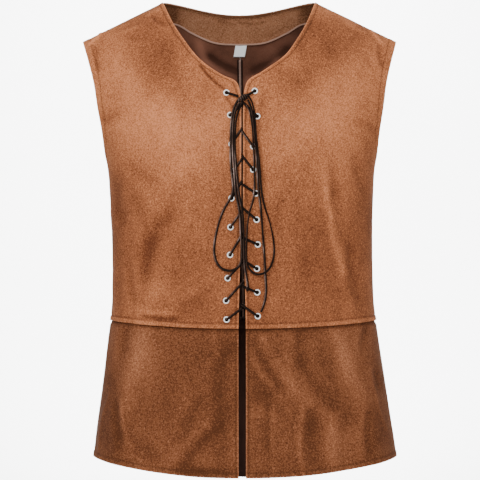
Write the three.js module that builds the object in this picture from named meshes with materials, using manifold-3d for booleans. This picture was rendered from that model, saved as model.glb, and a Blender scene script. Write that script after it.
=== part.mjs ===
// A renaissance vest of brown suede cloth, laced up the front, standing out in its worn shape with
// no wearer. Two front bodice panels, two back bodice panels joined at the centre back, a flared
// skirt below a lapped waist seam, a facing inside the back neck, a blank label, twenty metal
// eyelets and one long lace with a bow under the neckline.
//
// Millimetres. +Z is up, the front faces -Y, and the wearer's left side is +X. The origin lies
// between the two shoulders, level with the neck ends of the shoulder seams, where the wearer
// holds the vest up.
import * as THREE from "three";
import { mergeVertices } from "three/addons/utils/BufferGeometryUtils.js";
import Module from "manifold-3d";

const wasm = await Module();
wasm.setup();

// ---------------------------------------------------------------- driving dimensions

const CLOTH = 1.5; // thickness of the suede cloth
const SEAM_GAP = 0.3; // clearance wherever two pieces meet
const NECK_HALF = 109.6; // from the middle to the neck end of a shoulder seam
const SHOULDER_HALF = 225; // from the middle to the armhole end of a shoulder seam
const SHOULDER_DROP = 56.6; // how far that end lies below the neck end
const SHOULDER_ROUND = 200; // height over which the form rounds over to the shoulder line
const SHOULDER_POWER = 1.8; // roundness of that turn, 2 being an ellipse
const NECK_SAG = 4; // how much lower the right side of the front neckline hangs
const NECK_SAG_AT = 34; // where it hangs lowest, from the middle
const NECK_SAG_REACH = 32; // and how far it reaches to either side of that
const NECK_CROWN = 54; // height of the shoulder line where it carries on over the neck
const SECTION_POWER = 2.4; // roundness of a level section, 2 being an ellipse
const SECTION_ASPECT = 1.55; // a level section's width over its depth, which spaces the columns
const UNDERARM_Z = -229;
const WAIST_Z = -455.6; // waist seam at the side seam
const WAIST_DIP = 9; // how much lower the waist seam is at the centre
const HEM_Z = -649; // hem at the side seam
const FRONT_HEM_DIP = 21.5; // how much lower the hem is at the centre front
const BACK_HEM_DIP = 45.5; // and at the centre back
const BACK_NECK_DIP = 12.6; // how far the back neckline sags below the shoulder seams
const BACK_NECK_POWER = 2; // how much of that sag is gathered towards the middle
const WAIST_LAP = 7; // height of the skirt's top edge tucked behind the bodice
const WELT_HEIGHT = 5.5; // the turned and topstitched edge of the bodice at the waist
const WELT_RAISE = 0.7;
const WELT_STEP = 1.25; // the step above that edge ends at this many times its height
const TUCK_REACH = 8; // the skirt comes out level with the bodice over this height
const LEAN_TOP = -4.3; // the worn vest leans a little: its middle is here at the neck
const LEAN_HEM = 4.3; // and here at the hem

const FACING = 1.2; // thickness of the neck facing
const FACING_ROW = 0.8; // the row of the back panels, above the underarm, at its lower edge
const LABEL = { thickness: 1, width: 16.5, height: 16.4, slant: 3.2, middle: 2.5 };

const EYELET = { hole: 2.5, barrel: 3.1, flange: 4.6, crown: 3.7, rise: 0.7, tail: 0.4 };
const EYELET_SIDES = 10;
const PUNCH_DEPTH = 6 * CLOTH;
const LACE_RADIUS = 1.0;
const LACE_SIDES = 8;
const LACE_STEP = 7.5; // length of each straight step of the bow
const KNOT = { x: 1.8, z: -144.5, lift: 4.6, length: 13, width: 8.5, depth: 6.6, tilt: 20 };

// ---------------------------------------------------------------- tables of the worn form

// Level sections of the worn form: half its width, and how far front and back stand off the middle.
const BODY = [
  { z: -700, halfWidth: 223, front: 147, back: 142 },
  { z: -649, halfWidth: 217, front: 142, back: 137 },
  { z: -600, halfWidth: 210, front: 137, back: 131 },
  { z: -540, halfWidth: 201.5, front: 131, back: 125 },
  { z: -490, halfWidth: 194.5, front: 126, back: 120 },
  { z: -455.6, halfWidth: 190, front: 124, back: 117 },
  { z: -420, halfWidth: 187, front: 123, back: 114 },
  { z: -340, halfWidth: 186.5, front: 126, back: 115 },
  { z: -280, halfWidth: 188.5, front: 129, back: 119 },
  { z: -229, halfWidth: 193, front: 129, back: 122 },
  { z: -188, halfWidth: 206.8, front: 127, back: 124 },
  { z: -154, halfWidth: 219.8, front: 124, back: 123 },
  { z: -120, halfWidth: 232.4, front: 120, back: 121 },
  { z: -85, halfWidth: 244.6, front: 117, back: 117 },
  { z: -57, halfWidth: 255, front: 114, back: 113 },
  { z: 0, halfWidth: 270, front: 110, back: 108 },
];

// Half of the gap between the two fronts.
const CLOSURE = [
  { z: -700, gap: 5 },
  { z: -460, gap: 5.2 },
  { z: -400, gap: 4 },
  { z: -350, gap: 2.4 },
  { z: -310, gap: 1.5 },
  { z: -229, gap: 1.45 },
  { z: -155, gap: 1.45 },
];

// The front neckline in front view, from the top of the closure to the shoulder.
const FRONT_NECK = [
  { x: 1.45, z: -229 },
  { x: 1.45, z: -190 },
  { x: 1.45, z: -155 },
  { x: 3.3, z: -133 },
  { x: 9, z: -119 },
  { x: 28, z: -107.5 },
  { x: 61.5, z: -83.6 },
  { x: 78.6, z: -61 },
  { x: 94.7, z: -34.4 },
  { x: NECK_HALF, z: 0 },
];

// The armhole edge in front view, from the underarm to the shoulder.
const ARMHOLE = [
  { x: 193, z: UNDERARM_Z },
  { x: 196.7, z: -188 },
  { x: 202.3, z: -154 },
  { x: 207.3, z: -120 },
  { x: 216, z: -85.4 },
  { x: SHOULDER_HALF, z: -SHOULDER_DROP },
];

// The lower edge of the neck facing, from the centre back outwards. Its line runs on to the
// armhole as a row of the back panels.
const FACING_EDGE = [
  { x: 0, z: -53.7 },
  { x: 38, z: -51.4 },
  { x: 73, z: -38.5 },
  { x: 97.5, z: -26.5 },
  { x: 130, z: -27 },
  { x: SHOULDER_HALF, z: -90 },
];

// The largest soft folds: where each starts, its sideways slant going down, and its size.
const FOLDS = [
  { face: "front", x: -168, top: -480, slant: -0.1, width: 20, depth: 4.5 },
  { face: "front", x: -70, top: -500, slant: 0.02, width: 30, depth: 3 },
  { face: "front", x: 62, top: -470, slant: 0.12, width: 26, depth: 3.5 },
  { face: "front", x: 128, top: -480, slant: 0.1, width: 22, depth: -3 },
  { face: "front", x: 172, top: -490, slant: 0.1, width: 16, depth: 4.5 },
  { face: "back", x: -120, top: -480, slant: -0.1, width: 28, depth: 5 },
  { face: "back", x: -35, top: -490, slant: -0.02, width: 26, depth: 4 },
  { face: "back", x: 50, top: -480, slant: 0.05, width: 30, depth: 5 },
  { face: "back", x: 140, top: -490, slant: 0.1, width: 24, depth: 4 },
];
const FOLD_GROWTH = 130; // a fold reaches its full depth this far below its start

// The eyelets, pair by pair from the neck down, at the wearer's right (-X) and left (+X).
const EYELETS = [
  { rightX: -21.7, rightZ: -137, leftX: 17.6, leftZ: -134.7 },
  { rightX: -16.7, rightZ: -168.3, leftX: 21, leftZ: -170 },
  { rightX: -14.6, rightZ: -208.6, leftX: 15.3, leftZ: -211.9 },
  { rightX: -12, rightZ: -246.2, leftX: 15.3, leftZ: -244.1 },
  { rightX: -14.7, rightZ: -283.7, leftX: 19.2, leftZ: -277 },
  { rightX: -16.1, rightZ: -323.8, leftX: 20.1, leftZ: -313.4 },
  { rightX: -16.7, rightZ: -362.2, leftX: 21.7, leftZ: -347.8 },
  { rightX: -20, rightZ: -394.6, leftX: 20.5, leftZ: -381.4 },
  { rightX: -22.2, rightZ: -425.8, leftX: 21, leftZ: -414.3 },
  { rightX: -21.5, rightZ: -452, leftX: 21.7, leftZ: -447.2 },
];

// ---------------------------------------------------------------- reading tables

const mix = (a, b, share) => a + (b - a) * share;
const smoothstep = (t) => {
  const c = Math.min(1, Math.max(0, t));
  return c * c * (3 - 2 * c);
};

// A column of a table at a value of its key, by a smooth curve through the rows.
function readTable(rows, key, column, at) {
  const last = rows.length - 1;
  if (at <= rows[0][key]) return rows[0][column];
  if (at >= rows[last][key]) return rows[last][column];
  let i = 0;
  while (rows[i + 1][key] < at) i += 1;
  const slope = (k) => {
    const a = rows[Math.max(0, k - 1)];
    const b = rows[Math.min(last, k + 1)];
    return (b[column] - a[column]) / (b[key] - a[key]);
  };
  const span = rows[i + 1][key] - rows[i][key];
  const t = (at - rows[i][key]) / span;
  const rise = rows[i + 1][column] - rows[i][column];
  const bend = t * (1 - t) * ((1 - t) * (slope(i) * span - rise) - t * (slope(i + 1) * span - rise));
  return mix(rows[i][column], rows[i + 1][column], t) + bend;
}

// A curve in front view through a table's points; its share runs from 0 to 1 by length.
function curveThrough(rows) {
  let length = 0;
  const marked = rows.map((row, i) => {
    if (i > 0) length += Math.hypot(row.x - rows[i - 1].x, row.z - rows[i - 1].z);
    return { ...row, length };
  });
  return (share) => ({
    x: readTable(marked, "length", "x", share * length),
    z: readTable(marked, "length", "z", share * length),
  });
}

const frontNeck = curveThrough(FRONT_NECK);
const armhole = curveThrough(ARMHOLE);

// ---------------------------------------------------------------- the worn form

const halfWidthAt = (z) => readTable(BODY, "z", "halfWidth", z);
const gapAt = (z) => readTable(CLOSURE, "z", "gap", z);
const leanAt = (z) => mix(LEAN_TOP, LEAN_HEM, z / HEM_Z);

// Height of the shoulder line over a place across, carried smoothly over the neck.
function shoulderLine(x) {
  const slope = SHOULDER_DROP / (SHOULDER_HALF - NECK_HALF);
  if (Math.abs(x) > NECK_HALF) return slope * (NECK_HALF - Math.abs(x));
  const q = (x / NECK_HALF) ** 2;
  return (1 - q) * mix(NECK_CROWN, (slope * NECK_HALF) / 2, q);
}

// How far a soft fold stands out of the cloth.
function foldAt(face, x, z) {
  return FOLDS.filter((fold) => fold.face === face).reduce((sum, fold) => {
    const below = fold.top - z;
    const off = (x - fold.x - fold.slant * below) / fold.width;
    return sum + fold.depth * Math.exp(-off * off) * smoothstep(below / FOLD_GROWTH);
  }, 0);
}

// How far the cloth stands in front of, or behind, the plane of the side and shoulder seams.
function standOff(face, x, z) {
  const across = Math.min(1, Math.abs(x) / halfWidthAt(z));
  const lateral = (1 - across ** SECTION_POWER) ** (1 / SECTION_POWER);
  const below = Math.min(1, Math.max(0, (shoulderLine(x) - z) / SHOULDER_ROUND));
  const rounded = (1 - (1 - below) ** SHOULDER_POWER) ** (1 / SHOULDER_POWER);
  const edge = smoothstep(lateral * 3); // a fold dies away at the side seam
  return readTable(BODY, "z", face, z) * lateral * rounded + foldAt(face, x, z) * edge;
}

// A place on the outside of the worn form. x is measured from the leaning middle.
function onForm(face, x, z) {
  const outward = face === "front" ? -1 : 1;
  return new THREE.Vector3(x + leanAt(z), outward * (SEAM_GAP / 2 + standOff(face, x, z)), z);
}

// Shares across a panel that space its columns evenly round a level section.
function shareAcross(turn) {
  const angle = (turn * Math.PI) / 2;
  const s = Math.sin(angle);
  const c = Math.cos(angle) * SECTION_ASPECT;
  return s / (s ** SECTION_POWER + c ** SECTION_POWER) ** (1 / SECTION_POWER);
}

// ---------------------------------------------------------------- panels as surfaces

// How much lower an edge hangs towards the centre than at the side seam.
const dip = (atCentre, share) => -atCentre * (1 - share ** 2);

// The inner edge of a panel on one side: the closure in front, the centre seam behind.
const innerEdge = (face, side, z) =>
  face === "front" ? gapAt(z) - side * leanAt(z) : SEAM_GAP / 2;

// Bodice below the underarm: row 0 is the waist seam and row 1 the underarm.
function lowerBodice(face, side) {
  return (share, row) => {
    const level = mix(WAIST_Z, UNDERARM_Z, row);
    const x = mix(innerEdge(face, side, level), halfWidthAt(level), share);
    return onForm(face, side * x, level + (1 - row) * dip(WAIST_DIP, share));
  };
}

// How far the soft edge of the front neckline hangs below its table, on the right only.
const neckSag = (side, x) =>
  side < 0 ? NECK_SAG * Math.max(0, 1 - ((x - NECK_SAG_AT) / NECK_SAG_REACH) ** 2) : 0;

// Front bodice above the underarm: rows run from the closure or neckline to the armhole.
function upperFront(side) {
  return (share, row) => {
    const inner = frontNeck(row);
    const outer = armhole(row);
    const toMiddle = side * leanAt(inner.z) * (1 - inner.x / NECK_HALF);
    const x = mix(inner.x - toMiddle, outer.x, share);
    return onForm("front", side * x, mix(inner.z - neckSag(side, inner.x), outer.z, share));
  };
}

// The top edge of the back: the neckline and then the shoulder line.
const backTop = (x) => x < NECK_HALF
  ? -BACK_NECK_DIP * (1 - (x / NECK_HALF) ** 2) ** BACK_NECK_POWER
  : shoulderLine(x);

// Back bodice above the underarm: columns run up to the neckline or the shoulder, and the row at
// FACING_ROW follows the facing's lower edge. A signed share covers both sides.
function upperBack(signedShare, row) {
  const share = Math.abs(signedShare);
  const outer = armhole(row);
  const x = Math.sign(signedShare) * mix(SEAM_GAP / 2, outer.x, share);
  const heightAt = (across) => {
    const edge = readTable(FACING_EDGE, "x", "z", across);
    return row < FACING_ROW
      ? mix(UNDERARM_Z, edge, row / FACING_ROW)
      : mix(edge, backTop(across), (row - FACING_ROW) / (1 - FACING_ROW));
  };
  const toArmhole = (outer.z - heightAt(SHOULDER_HALF)) * share ** 2;
  return onForm("back", x, heightAt(share * SHOULDER_HALF) + toArmhole);
}

// A whole bodice panel: rows 0 to 1 below the underarm and 1 to 2 above it.
function bodiceSurface(face, side) {
  const lower = lowerBodice(face, side);
  const upper = face === "front"
    ? upperFront(side)
    : (share, row) => upperBack(side * Math.max(share, Number.EPSILON), row);
  return (share, row) => (row < 1 ? lower(share, row) : upper(share, row - 1));
}

// Skirt: row 0 is the hem and row 1 the tucked top edge. The share is signed across a whole back.
function skirtSurface(face, side) {
  const top = WAIST_Z + WAIST_LAP;
  const hemDip = face === "front" ? FRONT_HEM_DIP : BACK_HEM_DIP;
  return (share, row) => {
    const level = mix(HEM_Z, top, row);
    const inner = side === 0 ? 0 : innerEdge(face, side, level);
    const x = (Math.sign(share) || 1) * mix(inner, halfWidthAt(level), Math.abs(share));
    const z = level + mix(dip(hemDip, share), dip(WAIST_DIP, share), row);
    return onForm(face, (side || 1) * x, z);
  };
}

// A surface as the facets of its wall make it, for what lies flat on a panel.
function facetted(surface, shares, rows) {
  const cellOf = (marks, at) => {
    const i = Math.min(marks.length - 2, marks.findLastIndex((mark) => mark <= at));
    return { from: marks[i], to: marks[i + 1], part: (at - marks[i]) / (marks[i + 1] - marks[i]) };
  };
  return (share, row) => {
    const column = cellOf(shares, share);
    const level = cellOf(rows, row);
    const low = surface(column.from, level.from).lerp(surface(column.to, level.from), column.part);
    const high = surface(column.from, level.to).lerp(surface(column.to, level.to), column.part);
    return low.lerp(high, level.part);
  };
}

// ---------------------------------------------------------------- closed walls

const NORMAL_STEP = 1e-3;
const INSIDE = { nearer: 0.7, lower: 40 }; // a place inside the form, from one on its surface

// The outward normal of a surface, by small steps that stay inside its domain.
function outwardNormal(surface, share, row, domain) {
  const at = (s, r) =>
    surface(
      Math.min(domain.share[1], Math.max(domain.share[0], s)),
      Math.min(domain.row[1], Math.max(domain.row[0], r)),
    );
  const across = at(share + NORMAL_STEP, row).sub(at(share - NORMAL_STEP, row));
  const along = at(share, row + NORMAL_STEP).sub(at(share, row - NORMAL_STEP));
  const normal = across.cross(along).normalize();
  const here = at(share, row);
  const inside = new THREE.Vector3(INSIDE.nearer * here.x, 0, here.z - INSIDE.lower);
  return normal.dot(here.sub(inside)) < 0 ? normal.negate() : normal;
}

// An indexed closed geometry, turned to face out.
function closedGeometry(positions, index) {
  let volume = 0;
  const at = (i) => new THREE.Vector3().fromArray(positions, 3 * i);
  for (let i = 0; i < index.length; i += 3)
    volume += at(index[i]).dot(at(index[i + 1]).cross(at(index[i + 2])));
  const facing = volume < 0 ? index.toReversed() : index;
  const geometry = new THREE.BufferGeometry();
  geometry.setAttribute("position", new THREE.Float32BufferAttribute(positions, 3));
  geometry.setIndex(facing);
  return geometry;
}

// A wall of cloth through a surface. depth gives how far in its outer and inner faces lie.
function clothWall(surface, shares, rows, depth) {
  const domain = { share: [shares[0], shares.at(-1)], row: [rows[0], rows.at(-1)] };
  const positions = [];
  for (const face of ["outer", "inner"])
    for (const row of rows)
      for (const share of shares) {
        const normal = outwardNormal(surface, share, row, domain);
        const point = surface(share, row);
        const half = Math.sign(point.y);
        point.addScaledVector(normal, -depth(row)[face]);
        point.y = half * Math.max(half * point.y, SEAM_GAP / 2);
        positions.push(...point.toArray());
      }
  const columns = shares.length;
  const layer = columns * rows.length;
  const outer = (r, c) => r * columns + c;
  const inner = (r, c) => layer + outer(r, c);
  const index = [];
  const quad = (a, b, c, d) => index.push(a, b, c, a, c, d);
  // Walls that lie face to face are split along the same, shorter diagonals.
  const facet = (a, b, c, d) => {
    const at = (i) => new THREE.Vector3().fromArray(positions, 3 * (i % layer));
    const straight = at(a).distanceTo(at(c)) < at(b).distanceTo(at(d));
    if (straight) quad(a, b, c, d);
    else quad(b, c, d, a);
  };
  for (let r = 0; r < rows.length - 1; r += 1)
    for (let c = 0; c < columns - 1; c += 1) {
      facet(outer(r, c), outer(r, c + 1), outer(r + 1, c + 1), outer(r + 1, c));
      facet(inner(r, c), inner(r + 1, c), inner(r + 1, c + 1), inner(r, c + 1));
    }
  for (let c = 0; c < columns - 1; c += 1) {
    const top = rows.length - 1;
    quad(outer(0, c), inner(0, c), inner(0, c + 1), outer(0, c + 1));
    quad(outer(top, c), outer(top, c + 1), inner(top, c + 1), inner(top, c));
  }
  for (let r = 0; r < rows.length - 1; r += 1) {
    const end = columns - 1;
    quad(outer(r, 0), outer(r + 1, 0), inner(r + 1, 0), inner(r, 0));
    quad(outer(r, end), inner(r, end), inner(r + 1, end), outer(r + 1, end));
  }
  return closedGeometry(positions, index);
}

// ---------------------------------------------------------------- joining and cutting

function asSolid(geometry) {
  const bare = geometry.clone();
  bare.deleteAttribute("normal");
  bare.deleteAttribute("uv");
  const merged = mergeVertices(bare, 1e-3);
  return new wasm.Manifold(
    new wasm.Mesh({
      numProp: 3,
      vertProperties: new Float32Array(merged.attributes.position.array),
      triVerts: new Uint32Array(merged.index.array),
    }),
  );
}

function asGeometry(solid) {
  const mesh = solid.getMesh();
  const geometry = new THREE.BufferGeometry();
  geometry.setAttribute("position", new THREE.BufferAttribute(mesh.vertProperties, 3));
  geometry.setIndex(new THREE.BufferAttribute(mesh.triVerts, 1));
  return geometry;
}

// ---------------------------------------------------------------- columns and rows

// How finely the panels are divided: columns across, rows below and above the underarm.
const FRONT_CELLS = { columns: 12, lower: 8, upper: 14 };
const BACK_CELLS = { columns: 10, lower: 5, upper: 8, facing: 4 };
const SKIRT_CELLS = 6;

const evenly = (count) => Array.from({ length: count + 1 }, (_, i) => i / count);
const columnShares = (count) => evenly(count).map(shareAcross);
const eased = (count) => evenly(count).map((t) => (1 - Math.cos(Math.PI * t)) / 2);

// Columns with one moved exactly onto a corner of the outline.
function columnsThrough(count, corner) {
  const shares = columnShares(count);
  shares[nearestIn(shares, corner)] = corner;
  return shares;
}
const nearestIn = (marks, at) => marks.reduce((best, mark, i) =>
  Math.abs(mark - at) < Math.abs(marks[best] - at) ? i : best, 0);
const mirrored = (shares) => [...shares.slice(1).map((s) => -s).reverse(), ...shares];

const neckCorner = (NECK_HALF - SEAM_GAP / 2) / (SHOULDER_HALF - SEAM_GAP / 2);
const FRONT_COLUMNS = columnShares(FRONT_CELLS.columns);
const BACK_COLUMNS = columnsThrough(BACK_CELLS.columns, neckCorner);

const weltRow = WELT_HEIGHT / (UNDERARM_Z - WAIST_Z);
const lowerRows = (count) => [
  0,
  weltRow,
  ...evenly(count).map((t) => mix(weltRow * WELT_STEP, 1, t)),
];
const FRONT_ROWS = [
  ...lowerRows(FRONT_CELLS.lower),
  ...eased(FRONT_CELLS.upper).slice(1).map((t) => 1 + t),
];
// The rows of the upper back draw together towards the underarm and towards the neckline.
const FACING_ROWS = evenly(BACK_CELLS.facing).map((t) => mix(1, FACING_ROW, (1 - t) ** 1.5));
const UPPER_BACK_ROWS = [
  ...evenly(BACK_CELLS.upper).map((t) => t ** 1.6 * FACING_ROW),
  ...FACING_ROWS.slice(1),
];
const BACK_ROWS = [...lowerRows(BACK_CELLS.lower), ...UPPER_BACK_ROWS.slice(1).map((t) => 1 + t)];

const bodiceDepth = (row) => ({
  outer: row <= weltRow * 1.01 ? -WELT_RAISE : 0,
  inner: CLOTH,
});

// The skirt lies behind the bodice at the lap and comes out level with it just below.
const skirtDepth = (row) => {
  const below = (1 - row) * (WAIST_Z + WAIST_LAP - HEM_Z) - WAIST_LAP;
  const tucked = (CLOTH + 2 * SEAM_GAP) * (1 - smoothstep(below / TUCK_REACH));
  return { outer: tucked, inner: tucked + CLOTH };
};

// Even rows up from the hem, and closer ones, placed by the height of the lap, through the tuck.
const TUCK_ROWS = { start: 3.4, middle: 2.2, end: 1 };
const skirtRows = () => {
  const lap = WAIST_LAP / (WAIST_Z + WAIST_LAP - HEM_Z);
  const below = evenly(SKIRT_CELLS).map((t) => t * (1 - TUCK_ROWS.start * lap));
  return [...below, 1 - TUCK_ROWS.middle * lap, 1 - TUCK_ROWS.end * lap, 1];
};

const linedDepth = (thickness, clearance = SEAM_GAP) => () => ({
  outer: CLOTH + clearance,
  inner: CLOTH + clearance + thickness,
});

// The label hangs from the facing's lower edge, on the facets of the back panels.
function labelWall() {
  const flat = facetted(upperBack, mirrored(BACK_COLUMNS), UPPER_BACK_ROWS);
  const perRow = (FACING_EDGE[0].z - UNDERARM_Z) / FACING_ROW;
  const top = FACING_ROW - SEAM_GAP / perRow;
  const bottom = top - LABEL.height / perRow;
  const surface = (share, row) => {
    const middle = LABEL.middle - (1 - row) * LABEL.slant;
    const x = share === 0 ? 0 : middle + share * (LABEL.width / 2);
    return flat(x / armhole(mix(bottom, top, row)).x, mix(bottom, top, row));
  };
  return clothWall(surface, [-1, 0, 1], [0, 1], linedDepth(LABEL.thickness, 2 * SEAM_GAP));
}

// ---------------------------------------------------------------- eyelets

// The frame of an eyelet on its panel: Y points out of the cloth.
function eyeletPlace(x, z) {
  const point = onForm("front", x - leanAt(z), z);
  const right = onForm("front", x + 1 - leanAt(z), z).sub(point);
  const up = onForm("front", x - leanAt(z + 1), z + 1).sub(point);
  const out = right.cross(up).normalize();
  const turn = new THREE.Quaternion().setFromUnitVectors(new THREE.Vector3(0, 1, 0), out);
  return new THREE.Matrix4().compose(point, turn, new THREE.Vector3(1, 1, 1));
}

function eyeletGeometry() {
  const top = SEAM_GAP + EYELET.rise;
  const bottom = -CLOTH - EYELET.tail;
  const outline = [
    [EYELET.hole, bottom],
    [EYELET.barrel, bottom],
    [EYELET.barrel, SEAM_GAP],
    [EYELET.flange, SEAM_GAP],
    [EYELET.crown, top],
    [EYELET.hole, top],
    [EYELET.hole, bottom],
  ];
  return new THREE.LatheGeometry(outline.map(([r, y]) => new THREE.Vector2(r, y)), EYELET_SIDES);
}

const eyeletColumn = (name) =>
  EYELETS.map((pair) => eyeletPlace(pair[`${name}X`], pair[`${name}Z`]));

// A front bodice with its eyelet holes punched.
function punchedFront(side, places) {
  const surface = bodiceSurface("front", side);
  const wall = clothWall(surface, FRONT_COLUMNS, FRONT_ROWS, bodiceDepth);
  const radius = EYELET.barrel + SEAM_GAP;
  const punch = new THREE.CylinderGeometry(radius, radius, PUNCH_DEPTH, EYELET_SIDES);
  const cut = places.reduce(
    (solid, place) => solid.subtract(asSolid(punch.clone().applyMatrix4(place))),
    asSolid(wall),
  );
  return asGeometry(cut);
}

// ---------------------------------------------------------------- the lace

// A point of the lace, by its place in front view and its height over the front.
function lacePoint([x, z, lift]) {
  const point = onForm("front", x - leanAt(z), z);
  point.y -= lift;
  return point;
}

// A smooth curve whose stations follow its control points, closer where they are closer.
class StationCurve extends THREE.CatmullRomCurve3 {
  getPointAt(share, target) {
    return this.getPoint(share, target);
  }
  getTangentAt(share, target) {
    return this.getTangent(share, target);
  }
}

function laceTube(curve, steps) {
  const corners = evenly(LACE_SIDES).slice(1).map((t) => {
    const angle = 2 * Math.PI * t;
    return new THREE.Vector2(LACE_RADIUS * Math.cos(angle), LACE_RADIUS * Math.sin(angle));
  });
  const shape = new THREE.Shape(corners);
  return new THREE.ExtrudeGeometry(shape, { steps, extrudePath: curve, bevelEnabled: false });
}

const LACE = {
  out: 2.6, // height of the lace over an eyelet's flange
  on: 1.5, // on the cloth
  under: -3.1, // behind the cloth
  behind: -3.6, // behind an eyelet
  through: 1.9, // how far it runs straight into and out of an eyelet
  bend: 1.2, // how soon it turns there
  slit: -0.75, // midway through the cloth between the fronts
  slack: 0.25, // how far off the middle it turns to pass through
  stagger: 2.1, // half the distance between the two strands where they pass through
  rise: 0.52, // how far up towards the next eyelets they pass through
  settle: 6, // how far from an eyelet it has come down to the cloth
  beside: 2.2, // how far from the slit it leaves the cloth
  dip: 0.1, // how much it has sunk where it turns to pass through
  bar: 8, // how far the bottom bar runs straight from the middle
  arrive: 3, // how far from the knot it lifts off the cloth
  tuck: 0.4, // how far behind the knot's middle it ends
};

const eyeletAt = (side, pair) => {
  const row = EYELETS[pair];
  return side < 0 ? { x: row.rightX, z: row.rightZ } : { x: row.leftX, z: row.leftZ };
};
const pairHeight = (pair) => (EYELETS[pair].rightZ + EYELETS[pair].leftZ) / 2;

// A point a given distance from one place towards another in front view.
function towards(from, to, distance, lift) {
  const share = distance / Math.hypot(to.x - from.x, to.z - from.z);
  return [mix(from.x, to.x, share), mix(from.z, to.z, share), lift];
}

// One half of the lacing, from the middle of the bottom bar up to the knot.
function lacingRoute(firstSide) {
  const bottom = EYELETS.length - 1;
  const start = eyeletAt(firstSide, bottom);
  const middle = { x: firstSide * SEAM_GAP, z: pairHeight(bottom) };
  const points = [
    [middle.x, middle.z, LACE.under],
    towards(middle, start, LACE.bar, LACE.under),
    towards(start, middle, LACE.bend, LACE.behind),
  ];
  let side = firstSide;
  const through = (eyelet) => points.push(
    [eyelet.x, eyelet.z, -LACE.through],
    [eyelet.x, eyelet.z, LACE.through / 2],
  );
  for (let pair = bottom; pair > 0; pair -= 1) {
    const here = eyeletAt(side, pair);
    const next = eyeletAt(-side, pair - 1);
    const passZ = mix(pairHeight(pair), pairHeight(pair - 1), LACE.rise) + firstSide * LACE.stagger;
    const pass = { x: 0, z: passZ };
    const edge = gapAt(passZ) + LACE.beside;
    through(here);
    points.push(
      towards(here, pass, LACE.bend, LACE.out),
      towards(here, pass, LACE.settle, LACE.out),
      towards(pass, here, edge, LACE.on),
      [side * LACE.slack, passZ, LACE.on - LACE.dip],
      [0, passZ, LACE.slit],
      [-side * LACE.slack, passZ, LACE.under + LACE.dip],
      towards(pass, next, edge, LACE.under),
      towards(next, pass, LACE.settle, LACE.behind),
      towards(next, pass, LACE.bend, LACE.behind),
    );
    side = -side;
  }
  const last = eyeletAt(side, 0);
  const knotEnd = { x: KNOT.x + side * (KNOT.length / 2 + SEAM_GAP) };
  const arrive = (last.x - knotEnd.x) / (last.x - KNOT.x);
  knotEnd.z = mix(last.z, KNOT.z, arrive);
  through(last);
  points.push(
    towards(last, knotEnd, LACE.bend, LACE.out),
    towards(knotEnd, last, LACE.arrive, mix(LACE.out, KNOT.lift, 0.5)),
    [knotEnd.x, knotEnd.z, KNOT.lift - LACE.tuck],
  );
  return points;
}

const OVER = 4.9; // height of the bow where it crosses the lacing and the eyelets
const ON = 1.5; // and where it lies on the cloth

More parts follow.
